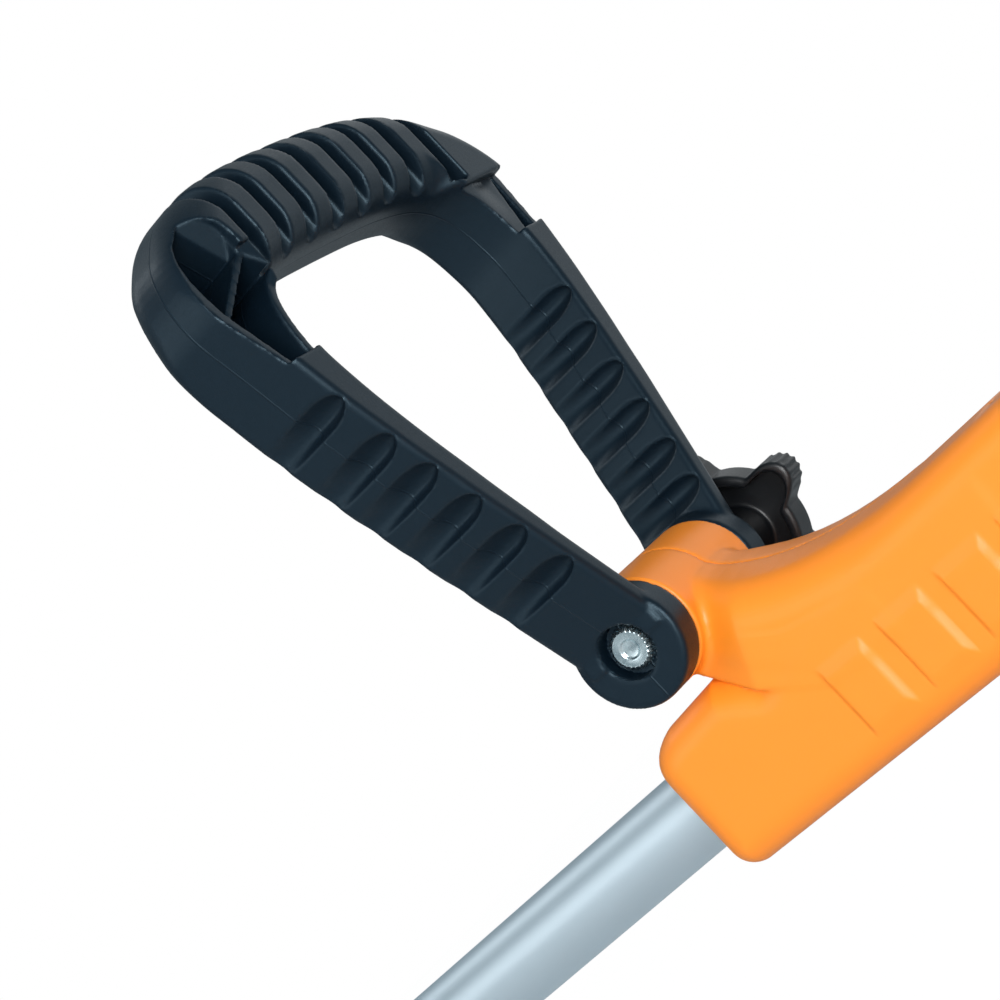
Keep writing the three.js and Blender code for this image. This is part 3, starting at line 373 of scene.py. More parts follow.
def block(x, y, z, low, high, edge=0.0):
    """A box between two corners."""
    sides = [np.abs(p - (a + b) / 2) - (b - a) / 2 + edge
             for p, a, b in zip((x, y, z), low, high)]
    outside = np.sqrt(sum(np.maximum(side, 0) ** 2 for side in sides))
    return outside + np.minimum(both(both(sides[0], sides[1]), sides[2]), 0) - edge


def arc(centre, radius, start, end, count=12):
    angles = np.radians(np.linspace(start, end, count))
    return [(centre[0] + radius * math.cos(a), centre[1] + radius * math.sin(a))
            for a in angles]


def bezier(p0, p1, p2, p3, count=12):
    result = []
    for t in np.linspace(0, 1, count):
        weights = ((1 - t) ** 3, 3 * t * (1 - t) ** 2, 3 * t * t * (1 - t), t ** 3)
        result.append(tuple(sum(w * p[k] for w, p in zip(weights, (p0, p1, p2, p3)))
                            for k in range(2)))
    return result


def past_line(u, v, point, normal):
    """How far a place in the (u, v) plane is past a line through a point."""
    return (u - point[0]) * normal[0] + (v - point[1]) * normal[1]


BOSS_RADIUS = 17.2
BODY_HALF = 24.6
BODY_TOP = 31.2
BODY_BOTTOM = -22.2
MOUTH = -31
BODY_EDGE = 10.5
NOSE_EDGE = 10.0

# The saddle rises from the flat top towards the pivot boss, and runs into it.
saddle = ([(0, 46), (0, 30), (24, 10), (34, -2), (110, -2), (110, 31.2), (82, 31.0)]
          + bezier((80, 31.2), (56, 31.8), (34, 36.2), (18, 49.5), 12))
# The neck joins the boss to the body, under and behind the arms' discs.
neck = [(0, 46), (0.8, 28.6), (14, 16), (32, 4), (60, 4), (60, 18), (32, 25), (20, 33)]
# The nose round the tube, and the body behind it.
nose = (arc((MOUTH + 8, BODY_BOTTOM + 8.6), 8, 180, 262, 8)
        + [(160, BODY_BOTTOM - 2.5), (160, 22)]
        + bezier((150, 22.4), (142, 24), (138, BODY_TOP), (126, BODY_TOP))
        + [(60, BODY_TOP - 2), (34, 26), (24, 22), (14, 18.5), (8, 22.5), (1.5, 26.2),
           (MOUTH + 12, 24.2)]
        + bezier((MOUTH + 11, 24), (MOUTH + 4, 22.2), (MOUTH, 18.5), (MOUTH, 12), 8))

RIB_PITCH = 22.4
RIB_WIDTH = 13.2
RIB_RISE = 1.0
RIB_SLOPE = 2.4
FIRST_RIB = 33
RIB_COUNT = 4

GRIP_HALF = 19
GRIP_TOP = 22.5
GRIP_BOTTOM = -26
GRIP_END = 306
BARREL_RADIUS = 54
BARREL_FRONT = 290
BARREL_REAR = 440
FOOT_HALF = 28
FOOT_REAR = 436
FOOT_DROP = 86
WALL = 3
ROOM_START = 140
CHEEK_LINE = (26.0, 39.3), (-0.890, 0.455)
CHEEK_SLOPE = 0.40
VENT_PITCH = 8
VENT_X = 318
SCREW_RECESS = 4.4

# The openings, as boxes between two corners: low and high.
INLET_WINDOW = (410, -15.3, -80.3), (445, 15.3, -57.7)
GRILLE_WINDOW = (396, 30, -22), (430, 99, 22)
TRIGGER_SLOT = (162, -6.6, -40), (242, 6.6, -18)
LOCK_HOLE = (182.6, -5.4, 10), (197.4, 5.4, 40)

# Each screw's place on the joint's plane, and the housing's half width there.
HOUSING_SCREWS = [(60, 22.5, 24.6), (148, 15, 24.6), (155.5, -46, 15), (284, 17, 19),
                  (385, -66, 28)]

dome = [(0, BARREL_FRONT - 12), (20, BARREL_FRONT - 6), (34, BARREL_FRONT + 1),
        (46, BARREL_FRONT + 12), (BARREL_RADIUS, BARREL_FRONT + 30),
        (BARREL_RADIUS, BARREL_REAR + 20)]


def floor_height(x):
    """The floor that the foot stands on, in the shaft's frame."""
    return -FOOT_DROP + (x - FOOT_REAR) * -shaft_axis.z / shaft_axis.x


def bow_outline():
    front, top = 144, GRIP_BOTTOM + 30
    heel = front + 36
    return (bezier((front, GRIP_BOTTOM), (front, -60), (front + 10, floor_height(heel)),
                   (heel, floor_height(heel)))
            + [(FOOT_REAR - 8, floor_height(FOOT_REAR - 8)), (FOOT_REAR - 8, -45),
               (GRIP_END - 6, -45), (GRIP_END - 6, top), (front, top)])


def hand_opening():
    low, front, rear = 13, 168, 286
    return (bezier((front, GRIP_BOTTOM + 9), (front - 8, -56), (front, floor_height(186) + low),
                   (186, floor_height(186) + low))
            + bezier((276, floor_height(276) + low), (294, floor_height(294) + low), (290, -50),
                     (rear, GRIP_BOTTOM + 9)))


def housing_field(side):
    """One half of the housing, on the left (-1) or the right (+1) of the middle plane."""
    def field(x, y, z):
        across = np.abs(y)
        radius = np.hypot(y, z)
        # The neck's cheeks slope in towards the boss from a line beside the discs.
        beside = past_line(x, z, *CHEEK_LINE)
        beside = 0.5 * (beside + np.hypot(beside, 1.0))
        cheek = BODY_HALF - CHEEK_SLOPE * beside
        crown = 0.004 * y * y  # the top's fall towards the sides
        boss = slab(np.hypot(x, z - PIVOT_HEIGHT) - BOSS_RADIUS, y, BODY_HALF, 0.6)
        body = slab(inside_outline(saddle, x, z + crown), y, cheek, BODY_EDGE)
        body = either(body, slab(inside_outline(neck, x, z), y, cheek, 1.6), 1.0)
        body = either(body, boss, 3.5)
        body = either(body, slab(inside_outline(nose, x, z), y, BODY_HALF, NOSE_EDGE), 1.2)
        # Raised ribs on the cheeks, with a slope all round each.
        nearest = FIRST_RIB + RIB_PITCH * np.clip(
            np.round((x - FIRST_RIB - RIB_WIDTH / 2) / RIB_PITCH), 0, RIB_COUNT - 1)
        along = x - nearest
        rib_u = both(-along, (along - RIB_WIDTH) / RIB_SLOPE)
        rib_v = (np.abs(z + 2) - 8.5) / 4
        rib = RIB_RISE * np.clip(1 - both(rib_u, rib_v), 0, 1)
        body = body - rib * np.clip((across - 20) / 3, 0, 1)
        grip = slab(inside_outline([
            (130, GRIP_BOTTOM + 1), (GRIP_END, GRIP_BOTTOM), (GRIP_END, GRIP_TOP),
            (222, GRIP_TOP + 1), (130, GRIP_TOP)], x, z), y, GRIP_HALF, 12)
        # The barrel round the motor, turned, with a domed front.
        barrel = both(turned_field(dome + [(-r, at) for r, at in dome[:0:-1]], radius, x),
                      x - BARREL_REAR)
        bow = slab(inside_outline(bow_outline(), x, z), y, 15, 5)
        foot = slab(inside_outline([
            (GRIP_END, floor_height(GRIP_END)), (FOOT_REAR, floor_height(FOOT_REAR)),
            (FOOT_REAR, -56), (FOOT_REAR - 14, -38), (GRIP_END, -38)], x, z), y, FOOT_HALF, 6)
        whole = either(body, grip, 16)
        whole = either(whole, barrel, 20)
        whole = either(whole, either(bow, foot, 8), 5)
        opening = both(inside_outline(hand_opening(), x, z), z - GRIP_BOTTOM)
        whole = without(whole, opening, 3.5)
        # Hollow round the tube, the switch and the motor.
        room = both(whole + WALL, ROOM_START - x)
        room = both(room, radius - BARREL_RADIUS + WALL)
        shell = without(whole, room)
        shell = without(shell, both(radius - TUBE_RADIUS - 0.15, x - TUBE_REAR - 1))
        shell = without(shell, block(x, y, z, *INLET_WINDOW), 0.3)
        shell = without(shell, block(x, across, z, *GRILLE_WINDOW, 2))
        shell = without(shell, block(x, y, z, *TRIGGER_SLOT, 1))
        shell = without(shell, block(x, y, z, *LOCK_HOLE, 1))
        # Air slots behind the barrel's shoulder.
        slot = (z + VENT_PITCH / 2) % VENT_PITCH - VENT_PITCH / 2
        vents = both(both(np.abs(slot) - 1.5, np.abs(z) - 18), np.abs(x - VENT_X) - 10)
        shell = without(shell, both(vents, 40 - across))
        if side > 0:
            # Round recesses for the screws' heads.
            for screw_x, screw_z, half in HOUSING_SCREWS:
                gap = np.hypot(x - screw_x, z - screw_z)
                shell = without(shell, both(gap - SCREW_RECESS, half - 4.5 - y), 0.4)
        # A small mould radius runs along the joint between the halves.
        return without(shell, side * y - 0.15, 0.5)
    return field


orange = moulded_plastic("orange_moulded_nylon", "#f88c22", 0.42, 0.5 * MM, 0.006 * MM, 0.015)
left_half = steps((-57, -27, 1.6), (-27, -19, 0.6), (-19, 1.5, 1.1))
for side, name, lattice_y in ((-1, "left", left_half), (1, "right", -left_half[::-1])):
    put(moulded_piece(f"housing_half_{name}", housing_field(side),
                      (steps((-33, 16, 0.7), (16, 128, 0.65), (128, 446, 1.5)), lattice_y,
                       steps((-106, -28, 1.5), (-28, 38, 0.7), (38, 68, 0.7))),
                      at_shaft, orange), "frame", "orange_housing", f"housing_{name}")


# ------------------------------------------------------------
# Loop handle: one black moulding in glass-filled nylon, with two fluted arms, two pivot discs,
# a slotted grip, and open pockets at its two corners, which save material.

HANDLE_HALF = 15
HANDLE_TOP = 172
GRIP_UNDERSIDE = 142.8
DISC_RADIUS = 17.15
DISC_FACE = 35.8
DISC_HALF = 5.45
POCKET_START = 113.5
POCKET_STEP = 2.8
POCKET_WALL = 2.4
POCKET_FLOOR = -8
POCKET_SLOPE = (60.4, 147), (-0.853, 0.522)
ROUND_MIDDLE = 74.6, 149.2
ROUND_RADIUS = 14.4
WEB_LINE = (58.5, 147), (0.54, 0.84)
WEB_HALF = 1.0
NO_LIMIT = -99
SLOT_PITCH = 15.9
SLOT_WIDTH = 7.0
SLOT_OFFSET = 3.7  # of the slots' middle from the grip's
GRIP_CURVE = 0.0019
ARM_EDGE = 2.0
FLUTE_WIDTH = 9.4
FLUTE_DEPTH = 3.2
BORE_RADIUS = 4.3  # round the bolt
BOLT_RECESS = 8.3
NUT_SEAT = 10

arm_outer = [(35.8, 0), (35.8, 5), (45, 25), (49.5, 35), (54, 45), (58.5, 55), (62.5, 65),
             (66.7, 75), (70.5, 85), (74.2, 95), (77.3, 105), (80, 115), (81.8, 125),
             (83.3, 134), (83.1, 141), (81.4, 147.6), (77.6, 154), (71.8, 158.9),
             (65.6, 163), (58.4, 166.2), (50, 168.5), (40, 170.2), (28, 171.3), (14, 171.9)]
arm_inner = [(28.5, 0), (30.6, 5), (38.9, 25), (43, 35), (46.6, 45), (50.4, 55), (53.9, 65),
             (57.5, 75), (60.7, 85), (63.5, 95), (65.6, 105), (66.5, 112), (66.0, 119),
             (64.4, 126), (61.6, 131.6), (56.6, 136.2), (48.6, 139.6), (37, 141.6), (22, 142.6)]


def smooth_line(points, parts=4):
    """A smooth curve through the points, as short straight parts."""
    line = []
    for i in range(len(points) - 1):
        p0, p1, p2, p3 = (np.array(points[min(max(k, 0), len(points) - 1)])
                          for k in (i - 1, i, i + 1, i + 2))
        for t in np.arange(parts) / parts:
            bend = (2 * p1 + (p2 - p0) * t + (2 * p0 - 5 * p1 + 4 * p2 - p3) * t ** 2
                    + (3 * p1 - p0 - 3 * p2 + p3) * t ** 3) / 2
            line.append(tuple(bend))
    return line + [points[-1]]


arm_outer = arm_outer[:2] + smooth_line(arm_outer[2:] + [(0, HANDLE_TOP)], 3)[:-1]
arm_inner = smooth_line(arm_inner + [(0, GRIP_UNDERSIDE)], 3)[:-1]
loop = (arm_outer + [(0, HANDLE_TOP)] + [(-y, height) for y, height in arm_outer[::-1]]
        + [(-y, height) for y, height in arm_inner] + [(0, GRIP_UNDERSIDE)] + arm_inner[::-1])
outer_flutes = (29, 43, 56.7, 70.2, 82.7, 98.4)
inner_flutes = (21.9, 34.5, 48.4, 62.4, 76.7, 90.1)
ARM_SLOPE = 0.91  # cosine of the arms' lean from the upright
ARM_END = 112  # where the arms run into the corners


def flutes(x, across, height, edge, middles, outward):
    """Grooves across an arm's face, steeper below, that end short of its rear edge and get
    shallow towards its front one."""
    places, heights = np.array([point for point in edge if point[1] < 125]).T
    face = outward * (across - np.interp(height, heights, places)) * ARM_SLOPE - 0.8
    reach = np.clip(1 - (np.maximum(x - 4, 0) / 10.2) ** 2, 0, 1) ** 0.5
    depth = FLUTE_DEPTH * (reach + 0.15) * np.clip((x + 17) / 17, 0.05, 1) ** 0.62
    cut = None
    for middle in middles:
        along = (height - middle) / ARM_SLOPE / (FLUTE_WIDTH * reach + 0.01) + 0.08
        along = np.where(along > 0, along / 0.58, -along / 0.42)
        scoop = 0.6 * (depth * (np.minimum(along, 3) ** 2 - 1) - face + np.maximum(x - 13.2, 0))
        cut = scoop if cut is None else np.minimum(cut, scoop)
    return both(cut, height - ARM_END)


def smooth(t):
    """Runs from 0 to 1 as t does, and is level beyond them."""
    t = np.clip(t, 0, 1)
    return t * t * (3 - 2 * t)


def pocket_field(x, y, z, flat):
    """The room inside a corner: thin walls, a web across it, and a sloping end by the grip."""
    across = np.abs(y)
    steep = past_line(across, z, *POCKET_SLOPE)
    round_end = np.hypot(across - ROUND_MIDDLE[0], z - ROUND_MIDDLE[1]) - ROUND_RADIUS
    wall = POCKET_WALL - 1.4 * smooth((z - 138) / 20)  # thinner towards the grip
    end = both(steep, POCKET_FLOOR - x)
    end = np.minimum(end, both(round_end, 0.55 * (7.6 + 1.5 * steep - x)))
    room = both(both(flat + wall, 0.8 * (POCKET_START - z)), end)
    # The far corner has a thick inner wall, so its room is a narrow wedge.
    room = both(room, np.where(y > 0, 72 + 0.48 * (z - 112.5) - across, NO_LIMIT))
    web = np.abs(past_line(across, z, *WEB_LINE)) - WEB_HALF
    web = both(web, x - 12 + 0.17 * (across - 58))
    return both(room, -web), both(round_end, POCKET_START - z)


def loop_handle_field(x, y, z):
    across = np.abs(y)
    flat = inside_outline(loop, y, z)
    corner = smooth((z - ARM_END) / 24)
    grip = smooth((60 - across) / 9) * smooth((z - 133) / 7)
    # A rounded square along the loop's middle tells its outer side from its inner one.
    ring = ((across / 75) ** 6 + (np.maximum(z - 60, 0) / 98) ** 6) ** (1 / 6)
    outer = smooth((ring - 1) / 0.12 + 0.5)
    bar = smooth((58 - across) / 12)
    # The arms' edges are crisp. Those of the corners and the grip are round.
    front_edge = ARM_EDGE + smooth((z - 118) / 30) * (2 + 5 * np.maximum(bar, outer))
    rear_edge = ARM_EDGE + outer * 12 * smooth((z - 126) / 33) + (1 - outer) * 10 * grip
    edge = front_edge + (rear_edge - front_edge) * smooth((x + 7) / 11)
    # Round the corners the outer face stands out more.
    swell = 0.9 + corner * (0.1 + 2.3 * outer)
    handle = slab(flat - swell, x, HANDLE_HALF, edge)
    # The disc carries on round the bolt below the arm's flat end.
    disc = slab(np.hypot(x, z) - DISC_RADIUS, across - DISC_FACE + DISC_HALF, DISC_HALF, 1.5)
    handle = either(both(handle, -z), disc, 0.8)
    # Flutes on the arms' outer and inner faces.
    handle = without(handle, flutes(x, across, z, arm_outer, outer_flutes, 1), 0.5)
    handle = without(handle, flutes(x, across, z, arm_inner, inner_flutes, -1), 0.5)
    # The corners' pockets, open to the rear, each behind a small step down from the arm.
    room, mouth = pocket_field(x, y, z, flat - 0.5 * swell)
    rim = HANDLE_HALF - POCKET_STEP - 0.1 * (z - POCKET_START) * smooth((across - 64) / 12)
    rim = rim + 0.5 * np.maximum(59.5 - across, 0)
    below = np.minimum(mouth, both(POCKET_START - z, z - 148))
    below = both(below, np.where(y > 0, z - 134, NO_LIMIT))
    handle = without(handle, both(below, rim - x), 0.5)
    handle = without(handle, room, 0.8)
    # Slots over the grip, with a rounded floor, and pointed at their ends.
    number = np.clip(np.round((y - SLOT_OFFSET) / SLOT_PITCH - 0.5), -4, 3)
    nearest = (number + 0.5) * SLOT_PITCH + SLOT_OFFSET
    drop = GRIP_CURVE * y * y
    above_floor = 19 * (np.hypot((x + 6) / 14.2, (z - 152 + drop) / 22.2) - 1)
    above_floor = np.minimum(above_floor, 2.5 * (z - 142.6 + drop))
    half_width = SLOT_WIDTH / 2 * np.clip(above_floor / 2.5, 0.01, 1) ** 0.5
    slot = both(np.abs(y - nearest) - half_width, -above_floor)
    handle = without(handle, both(slot, POCKET_FLOOR - x), 0.15)
    # The recess round the bolt's head, the nut's seat on the other side, and the bolt's bore.
    bolt = np.hypot(x, z)
    handle = without(handle, both(bolt - BOLT_RECESS, DISC_FACE - 5.5 + y), 0.5)
    handle = without(handle, both(bolt - NUT_SEAT, DISC_FACE - y), 0.3)
    return both(handle, BORE_RADIUS - bolt)


def parting_line(material, point, normal, width, rise):
    """A fine raised line where the mould's two halves met, in the plane through point."""
    tree = material.node_tree
    shader = next(node for node in tree.nodes if node.type == "BSDF_PRINCIPLED")
    place = add(tree, "ShaderNodeTexCoord").outputs["Object"]
    offset = add(tree, "ShaderNodeVectorMath", {0: place, 1: tuple(point)},
                 operation="SUBTRACT")
    beside = add(tree, "ShaderNodeVectorMath", {0: offset.outputs["Vector"], 1: tuple(normal)},
                 operation="DOT_PRODUCT")
    distance = add(tree, "ShaderNodeMath", {0: beside.outputs["Value"]}, operation="ABSOLUTE")
    bump = add(tree, "ShaderNodeBump", {
        "Height": spread(tree, distance.outputs[0], 1.0, 0.0, 0.0, width), "Distance": rise,
        "Normal": shader.inputs["Normal"].links[0].from_socket})
    tree.links.new(bump.outputs[0], shader.inputs["Normal"])


# The grain is drawn as coarse as it shows: it is really finer than half a millimetre.
black_nylon = moulded_plastic("black_moulded_nylon", "#07131d", 0.42, 0.5 * MM, 0.03 * MM,
                              0.04, gleam="#b4d3e4")
parting_line(black_nylon, pivot, shaft_axis, 0.4 * MM, 0.12 * MM)
put(moulded_piece(
    "loop_handle_moulding", loop_handle_field,
    (steps((-18, -9, 0.7), (-9, 6, 1.0), (6, 18, 0.6)),
     steps((-87, -60, 0.6), (-60, -24, 0.7), (-24, 24, 0.9), (24, 60, 0.7), (60, 87, 0.6)),
     steps((-18, 110, 0.7), (110, 177, 0.6))), at_pivot, black_nylon),
    "front_handle", "black_nylon", "loop_handle")


# ------------------------------------------------------------
# Pivot bolt and star knob: a chromed bolt with a serrated head goes through the boss, and a
# hollow five-lobed black knob with a nut in it clamps the handle from the other side.

def plated_steel(name, colour, roughness, patch=6 * MM):
    """Bright plating over turned steel: mirror-like, with slightly cloudy patches."""
    material, tree, shader, place = finish(name, colour, roughness, Metallic=1.0)
    cloud = noise(tree, place, patch, 4.0, 0.65)
    texture(tree, shader, spread(tree, cloud, roughness * 0.7, roughness * 1.4, 0.3, 0.7))
    return material


BOLT_RADIUS = 3.9
SERRATIONS = 24
points, faces = turned([
    (0, -33.2), (2.4, -33.4), (3.0, -34.0), (5.4, -34.1), (6.6, -33.0), (6.6, -30.6),
    (BOLT_RADIUS, -30.6), (BOLT_RADIUS, 57), (0, 57)], 96, "y", 0.3)
# Serrations round the head, which bite into a driver's socket.
points = np.array(points)
radius = np.hypot(points[:, 0], points[:, 2])
ridges = np.cos(SERRATIONS * np.arctan2(points[:, 2], points[:, 0]))
groove = np.where(radius > 5.2, 0.35 - 0.35 * ridges, 0)
points[:, [0, 2]] *= (1 - groove / np.maximum(radius, 1))[:, None]
bolt = plain_mesh("pivot_bolt_chromed", points, faces,
                  plated_steel("bright_chrome", "#dcebef", 0.24, 3 * MM))
bolt.validate()
put(set_in_place(bolt, at_pivot), "front_handle", "chrome_bolt", "pivot_bolt")

KNOB_INNER = 52
KNOB_OUTER = 63
KNOB_WALL = 2.6
KNOB_LOBES = 5
KNOB_WAIST = 21.6  # the rim's radius between its lobes, which stand out of it by the next
KNOB_LOBE = 8.4
HUB_RADIUS = 9.2
NUT_HALF = 6.9


def knob_field(x, y, z):
    angle = np.arctan2(z, x)
    radius = np.hypot(x, z)
    wave = np.cos(KNOB_LOBES * (angle - math.pi / 12))
    bump = 1 - 0.72 * (1 - wave) - 0.25 * (1 - wave) ** 3
    bump = -either(-bump, 0.05 + 0 * bump, 0.5)
    rim = KNOB_WAIST + KNOB_LOBE * bump
    tip = np.clip((bump - 0.25) * 3, 0, 1)
    flat = (radius - rim) * 0.8
    ripple = 0.3 * np.cos(angle * 80) * tip * np.clip((y - 53) / 2, 0, 1)
    star = slab(flat - ripple, y - (KNOB_OUTER + KNOB_INNER) / 2,
                (KNOB_OUTER - KNOB_INNER) / 2, 1.2)
    hollow = both(flat + KNOB_WALL, y - KNOB_OUTER + KNOB_WALL)
    star = without(star, hollow, 0.6)
    hub = slab(radius - HUB_RADIUS, y - 49, 12.9, 0.4)
    knob = either(star, hub, 1.5)
    side = np.abs((angle * 3 / math.pi) % 1 - 0.5)
    hexagon = radius * np.cos((0.5 - side) * math.pi / 3) - NUT_HALF
    knob = without(knob, both(hexagon, y - 43.4))
    return without(knob, both(radius - BORE_RADIUS, y - 58))


def dress(material, *nodes):
    """Gives the carried-over CAD nodes a material, and leaves their shapes as they are."""
    for node in nodes:
        mesh = frame["nodes"][node].data
        mesh.materials.clear()
        mesh.materials.append(material)


knob_lattice = steps((-32, 32, 0.45))
put(moulded_piece("star_knob_moulding", knob_field,
                  (knob_lattice, steps((35.5, 64, 0.55)), knob_lattice), at_pivot,
                  moulded_plastic("black_knob_nylon", "#0a0d11", 0.4, 0.35 * MM, 0.01 * MM)),
    "wing_knob", "black_nylon", "wing_knob")
zinc_steel = plated_steel("zinc_plated_steel", "#b4b9bb", 0.3)
dress(zinc_steel, "knob_nut")


# ------------------------------------------------------------
# Housing screws: five zinc-plated pan-head screws with a hexagon socket, driven in from the
# right into the left half's bosses.

def growing_tree(name, grow, **inputs):
    """A tree that makes real what grow(tree, given) returns, and gives it a material."""
    tree = bpy.data.node_groups.new(name, "GeometryNodeTree")
    for label, kind in {"Points": "Geometry", **inputs, "Finish": "Material"}.items():
        tree.interface.new_socket(label, in_out="INPUT", socket_type="NodeSocket" + kind)
    tree.interface.new_socket("Grown", in_out="OUTPUT", socket_type="NodeSocketGeometry")
    given = tree.nodes.new("NodeGroupInput").outputs
    real = add(tree, "GeometryNodeRealizeInstances", {"Geometry": grow(tree, given)})
    finished = add(tree, "GeometryNodeSetMaterial", {
        "Geometry": real.outputs[0], "Material": given["Finish"]})
    tree.links.new(finished.outputs[0], tree.nodes.new("NodeGroupOutput").inputs[0])
    return tree


def copies_on_points(tree, given):
    """Copies of one object, one at each point of a mesh, turned by the point's own angles."""
    copy = add(tree, "GeometryNodeObjectInfo", {"Object": given["Copy"]})
    turn = add(tree, "GeometryNodeInputNamedAttribute", {"Name": "turn"},
               data_type="FLOAT_VECTOR")
    rotation = add(tree, "FunctionNodeEulerToRotation", {"Euler": turn.outputs[0]})
    return add(tree, "GeometryNodeInstanceOnPoints", {
        "Points": given["Points"], "Instance": copy.outputs["Geometry"],
        "Rotation": rotation.outputs[0]}).outputs[0]


def grown(name, tree, place, material, points=((0, 0, 0),), turns=None, **inputs):
    """A plain mesh object made by a geometry tree from points, in millimetres."""
    carrier = plain_mesh(name + "_points", points, [])
    if turns:
        angles = carrier.attributes.new("turn", "FLOAT_VECTOR", "POINT")
        angles.data.foreach_set("vector", [float(a) for turn in turns for a in turn])
    maker = linked(name + "_maker", carrier)
    modifier = maker.modifiers.new("grow", "NODES")
    modifier.node_group = tree
    sockets = {item.name: item.identifier for item in tree.interface.items_tree
               if item.in_out == "INPUT"}
    for label, value in {**inputs, "Finish": material}.items():
        modifier[sockets[label]] = value
    graph = bpy.context.evaluated_depsgraph_get()
    mesh = bpy.data.meshes.new_from_object(maker.evaluated_get(graph))
    bpy.data.objects.remove(maker)
    mesh.name = name
    return set_in_place(mesh, place)


copies = growing_tree("copies_on_points", copies_on_points, Copy="Object")


def copied(name, points, faces, place, material, spots, turns):
    """Copies of one shape, made real, with one at each spot."""
    model = linked(name + "_pattern", plain_mesh(name + "_pattern", points, faces))
    group = grown(name, copies, place, material, spots, turns, Copy=model)
    bpy.data.objects.remove(model)
    return group


def screws(name, head, rise, length, shank, place, spots, turns):
    """Screws along +Y, each head's seat at its spot, with hexagon sockets."""
    key = head * 0.45
    outline = [(0, rise * 0.45), (key, rise * 0.45), (key, rise * 0.96), (head * 0.6, rise),
               (head * 0.92, rise * 0.7), (head, rise * 0.3), (head, 0), (shank, 0),
               (shank, -length), (0, -length - 1)]
    points, faces = turned(outline, 24, "y", 0.15)
    for i, (x, y, z) in enumerate(points):
        if y > rise * 0.4 and math.hypot(x, z) < key * 1.02:  # six flats round the socket
            angle = (math.atan2(z, x) * 3 / math.pi) % 1 - 0.5
            share = math.cos(math.pi / 6) / math.cos(angle * math.pi / 3)
            points[i] = (x * share, y, z * share)
    return copied(name, points, faces, place, zinc_steel, spots, turns)


put(screws("housing_screws", 4, 2.6, 14, 1.9, at_shaft,
           [(x, half - 3.7, z) for x, z, half in HOUSING_SCREWS],
           [(0, 0.7 * i, 0) for i in range(5)]),
    "frame", "steel", *[f"housing_screw_{i}" for i in range(1, 6)])


# ------------------------------------------------------------
# Vent grilles, end cap and power inlet: black moulded nylon. The grilles fill the windows in
# the barrel's sides, and the cap closes its rear and holds the rear motor bearing.

GRILLE_FRONT = 396.3
GRILLE_REAR = 429.7
GRILLE_HALF = 21.7


def grille_field(x, y, z):
    radius = np.hypot(y, z)
    window = block(x, y, z, (GRILLE_FRONT, 30, -GRILLE_HALF), (GRILLE_REAR, 60, GRILLE_HALF), 2)
    panel = both(window, both(radius - BARREL_RADIUS + 0.4, 49.4 - radius))
    # Louvres that lean back, inside a plain border.
    louvre = np.abs((z + 0.55 * (radius - 52) + 2.5) % 5 - 2.5) - 1.35
    opening = both(both(GRILLE_FRONT + 4 - x, x - GRILLE_REAR + 4), np.abs(z) - 17.6)
    return without(panel, both(opening, louvre))


for side, mirror, lattice_y in (("left", -1, steps((-56, -40, 0.6))),
                                ("right", 1, steps((40, 56, 0.6)))):
    put(moulded_piece(f"vent_louvres_{side}", lambda x, y, z: grille_field(x, mirror * y, z),
                      (steps((395, 431, 0.8)), lattice_y, steps((-24, 24, 0.6))),
                      at_shaft, black_nylon), "frame", "black_nylon", f"vent_grille_{side}")

CAP_REAR = 462
CAP_VENTS = 20
cap_profile = [
    (0, CAP_REAR), (38, CAP_REAR), (47, CAP_REAR - 2.6), (52, CAP_REAR - 8),
    (54, CAP_REAR - 16), (54, BARREL_REAR + 0.4), (51, BARREL_REAR + 0.4),
    (51, CAP_REAR - 13), (46, CAP_REAR - 7), (38, CAP_REAR - 4), (16.3, CAP_REAR - 4),
    (16.3, BARREL_REAR - 12), (13.3, BARREL_REAR - 12), (13.3, BARREL_REAR),
    (9, BARREL_REAR), (9, CAP_REAR - 4), (0, CAP_REAR - 4)]


def round_place(u, v, count, offset=0.0):
    """How far off a place in the (u, v) plane is from the nearest of count even spokes."""
    step = 2 * math.pi / count
    angle = (np.arctan2(v, u) + offset * step) % step - step / 2
    return angle * np.hypot(u, v)


def end_cap_field(x, y, z):
    radius = np.hypot(y, z)
    cap = turned_field(cap_profile, radius, x)
    # Long radial vents, and a shallow round seat in the middle.
    vent = both(np.abs(round_place(y, z, CAP_VENTS, 0.5)) - 0.085 * radius,
                both(20 - radius, radius - 40))
    cap = without(cap, both(vent, CAP_REAR - 12 - x), 0.5)
    return without(cap, both(radius - 15, CAP_REAR - 1 - x), 0.4)


across_cap = steps((-56, 56, 1.0))
put(moulded_piece("end_cap_moulding", end_cap_field,
                  (steps((426, 464, 0.9)), across_cap, across_cap), at_shaft, black_nylon),
    "frame", "black_nylon", "motor_end_cap")
dress(black_nylon, "power_inlet")


# ------------------------------------------------------------
# Trigger and lock-off button: black nylon levers in the rear grip, each pushed back by a
# small coil spring of steel wire, over a grey switch block.

def wound_wire(tree, given):
    """A round wire wound in a helix up its axis, such as a spring or a layer of line."""
    spiral = add(tree, "GeometryNodeCurveSpiral", {
        "Resolution": 40, "Rotations": given["Turns"], "Height": given["Height"],
        "Start Radius": given["Radius"], "End Radius": given["Radius"]})
    section = add(tree, "GeometryNodeCurvePrimitiveCircle", {
        "Resolution": 10, "Radius": given["Wire"]})
    return add(tree, "GeometryNodeCurveToMesh", {
        "Curve": spiral.outputs[0], "Profile Curve": section.outputs[0],
        "Fill Caps": True}).outputs[0]


TRIGGER_X = 172
TRIGGER_Z = -10
trigger_blade = (  # about its pin
    [(-4, -4), (4, -4), (64, -7), (64, -14)] + bezier((62, -16), (52, -23), (40, -27), (26, -29), 8)
    + bezier((20, -30), (4, -32), (-3, -28), (-5, -14), 8))


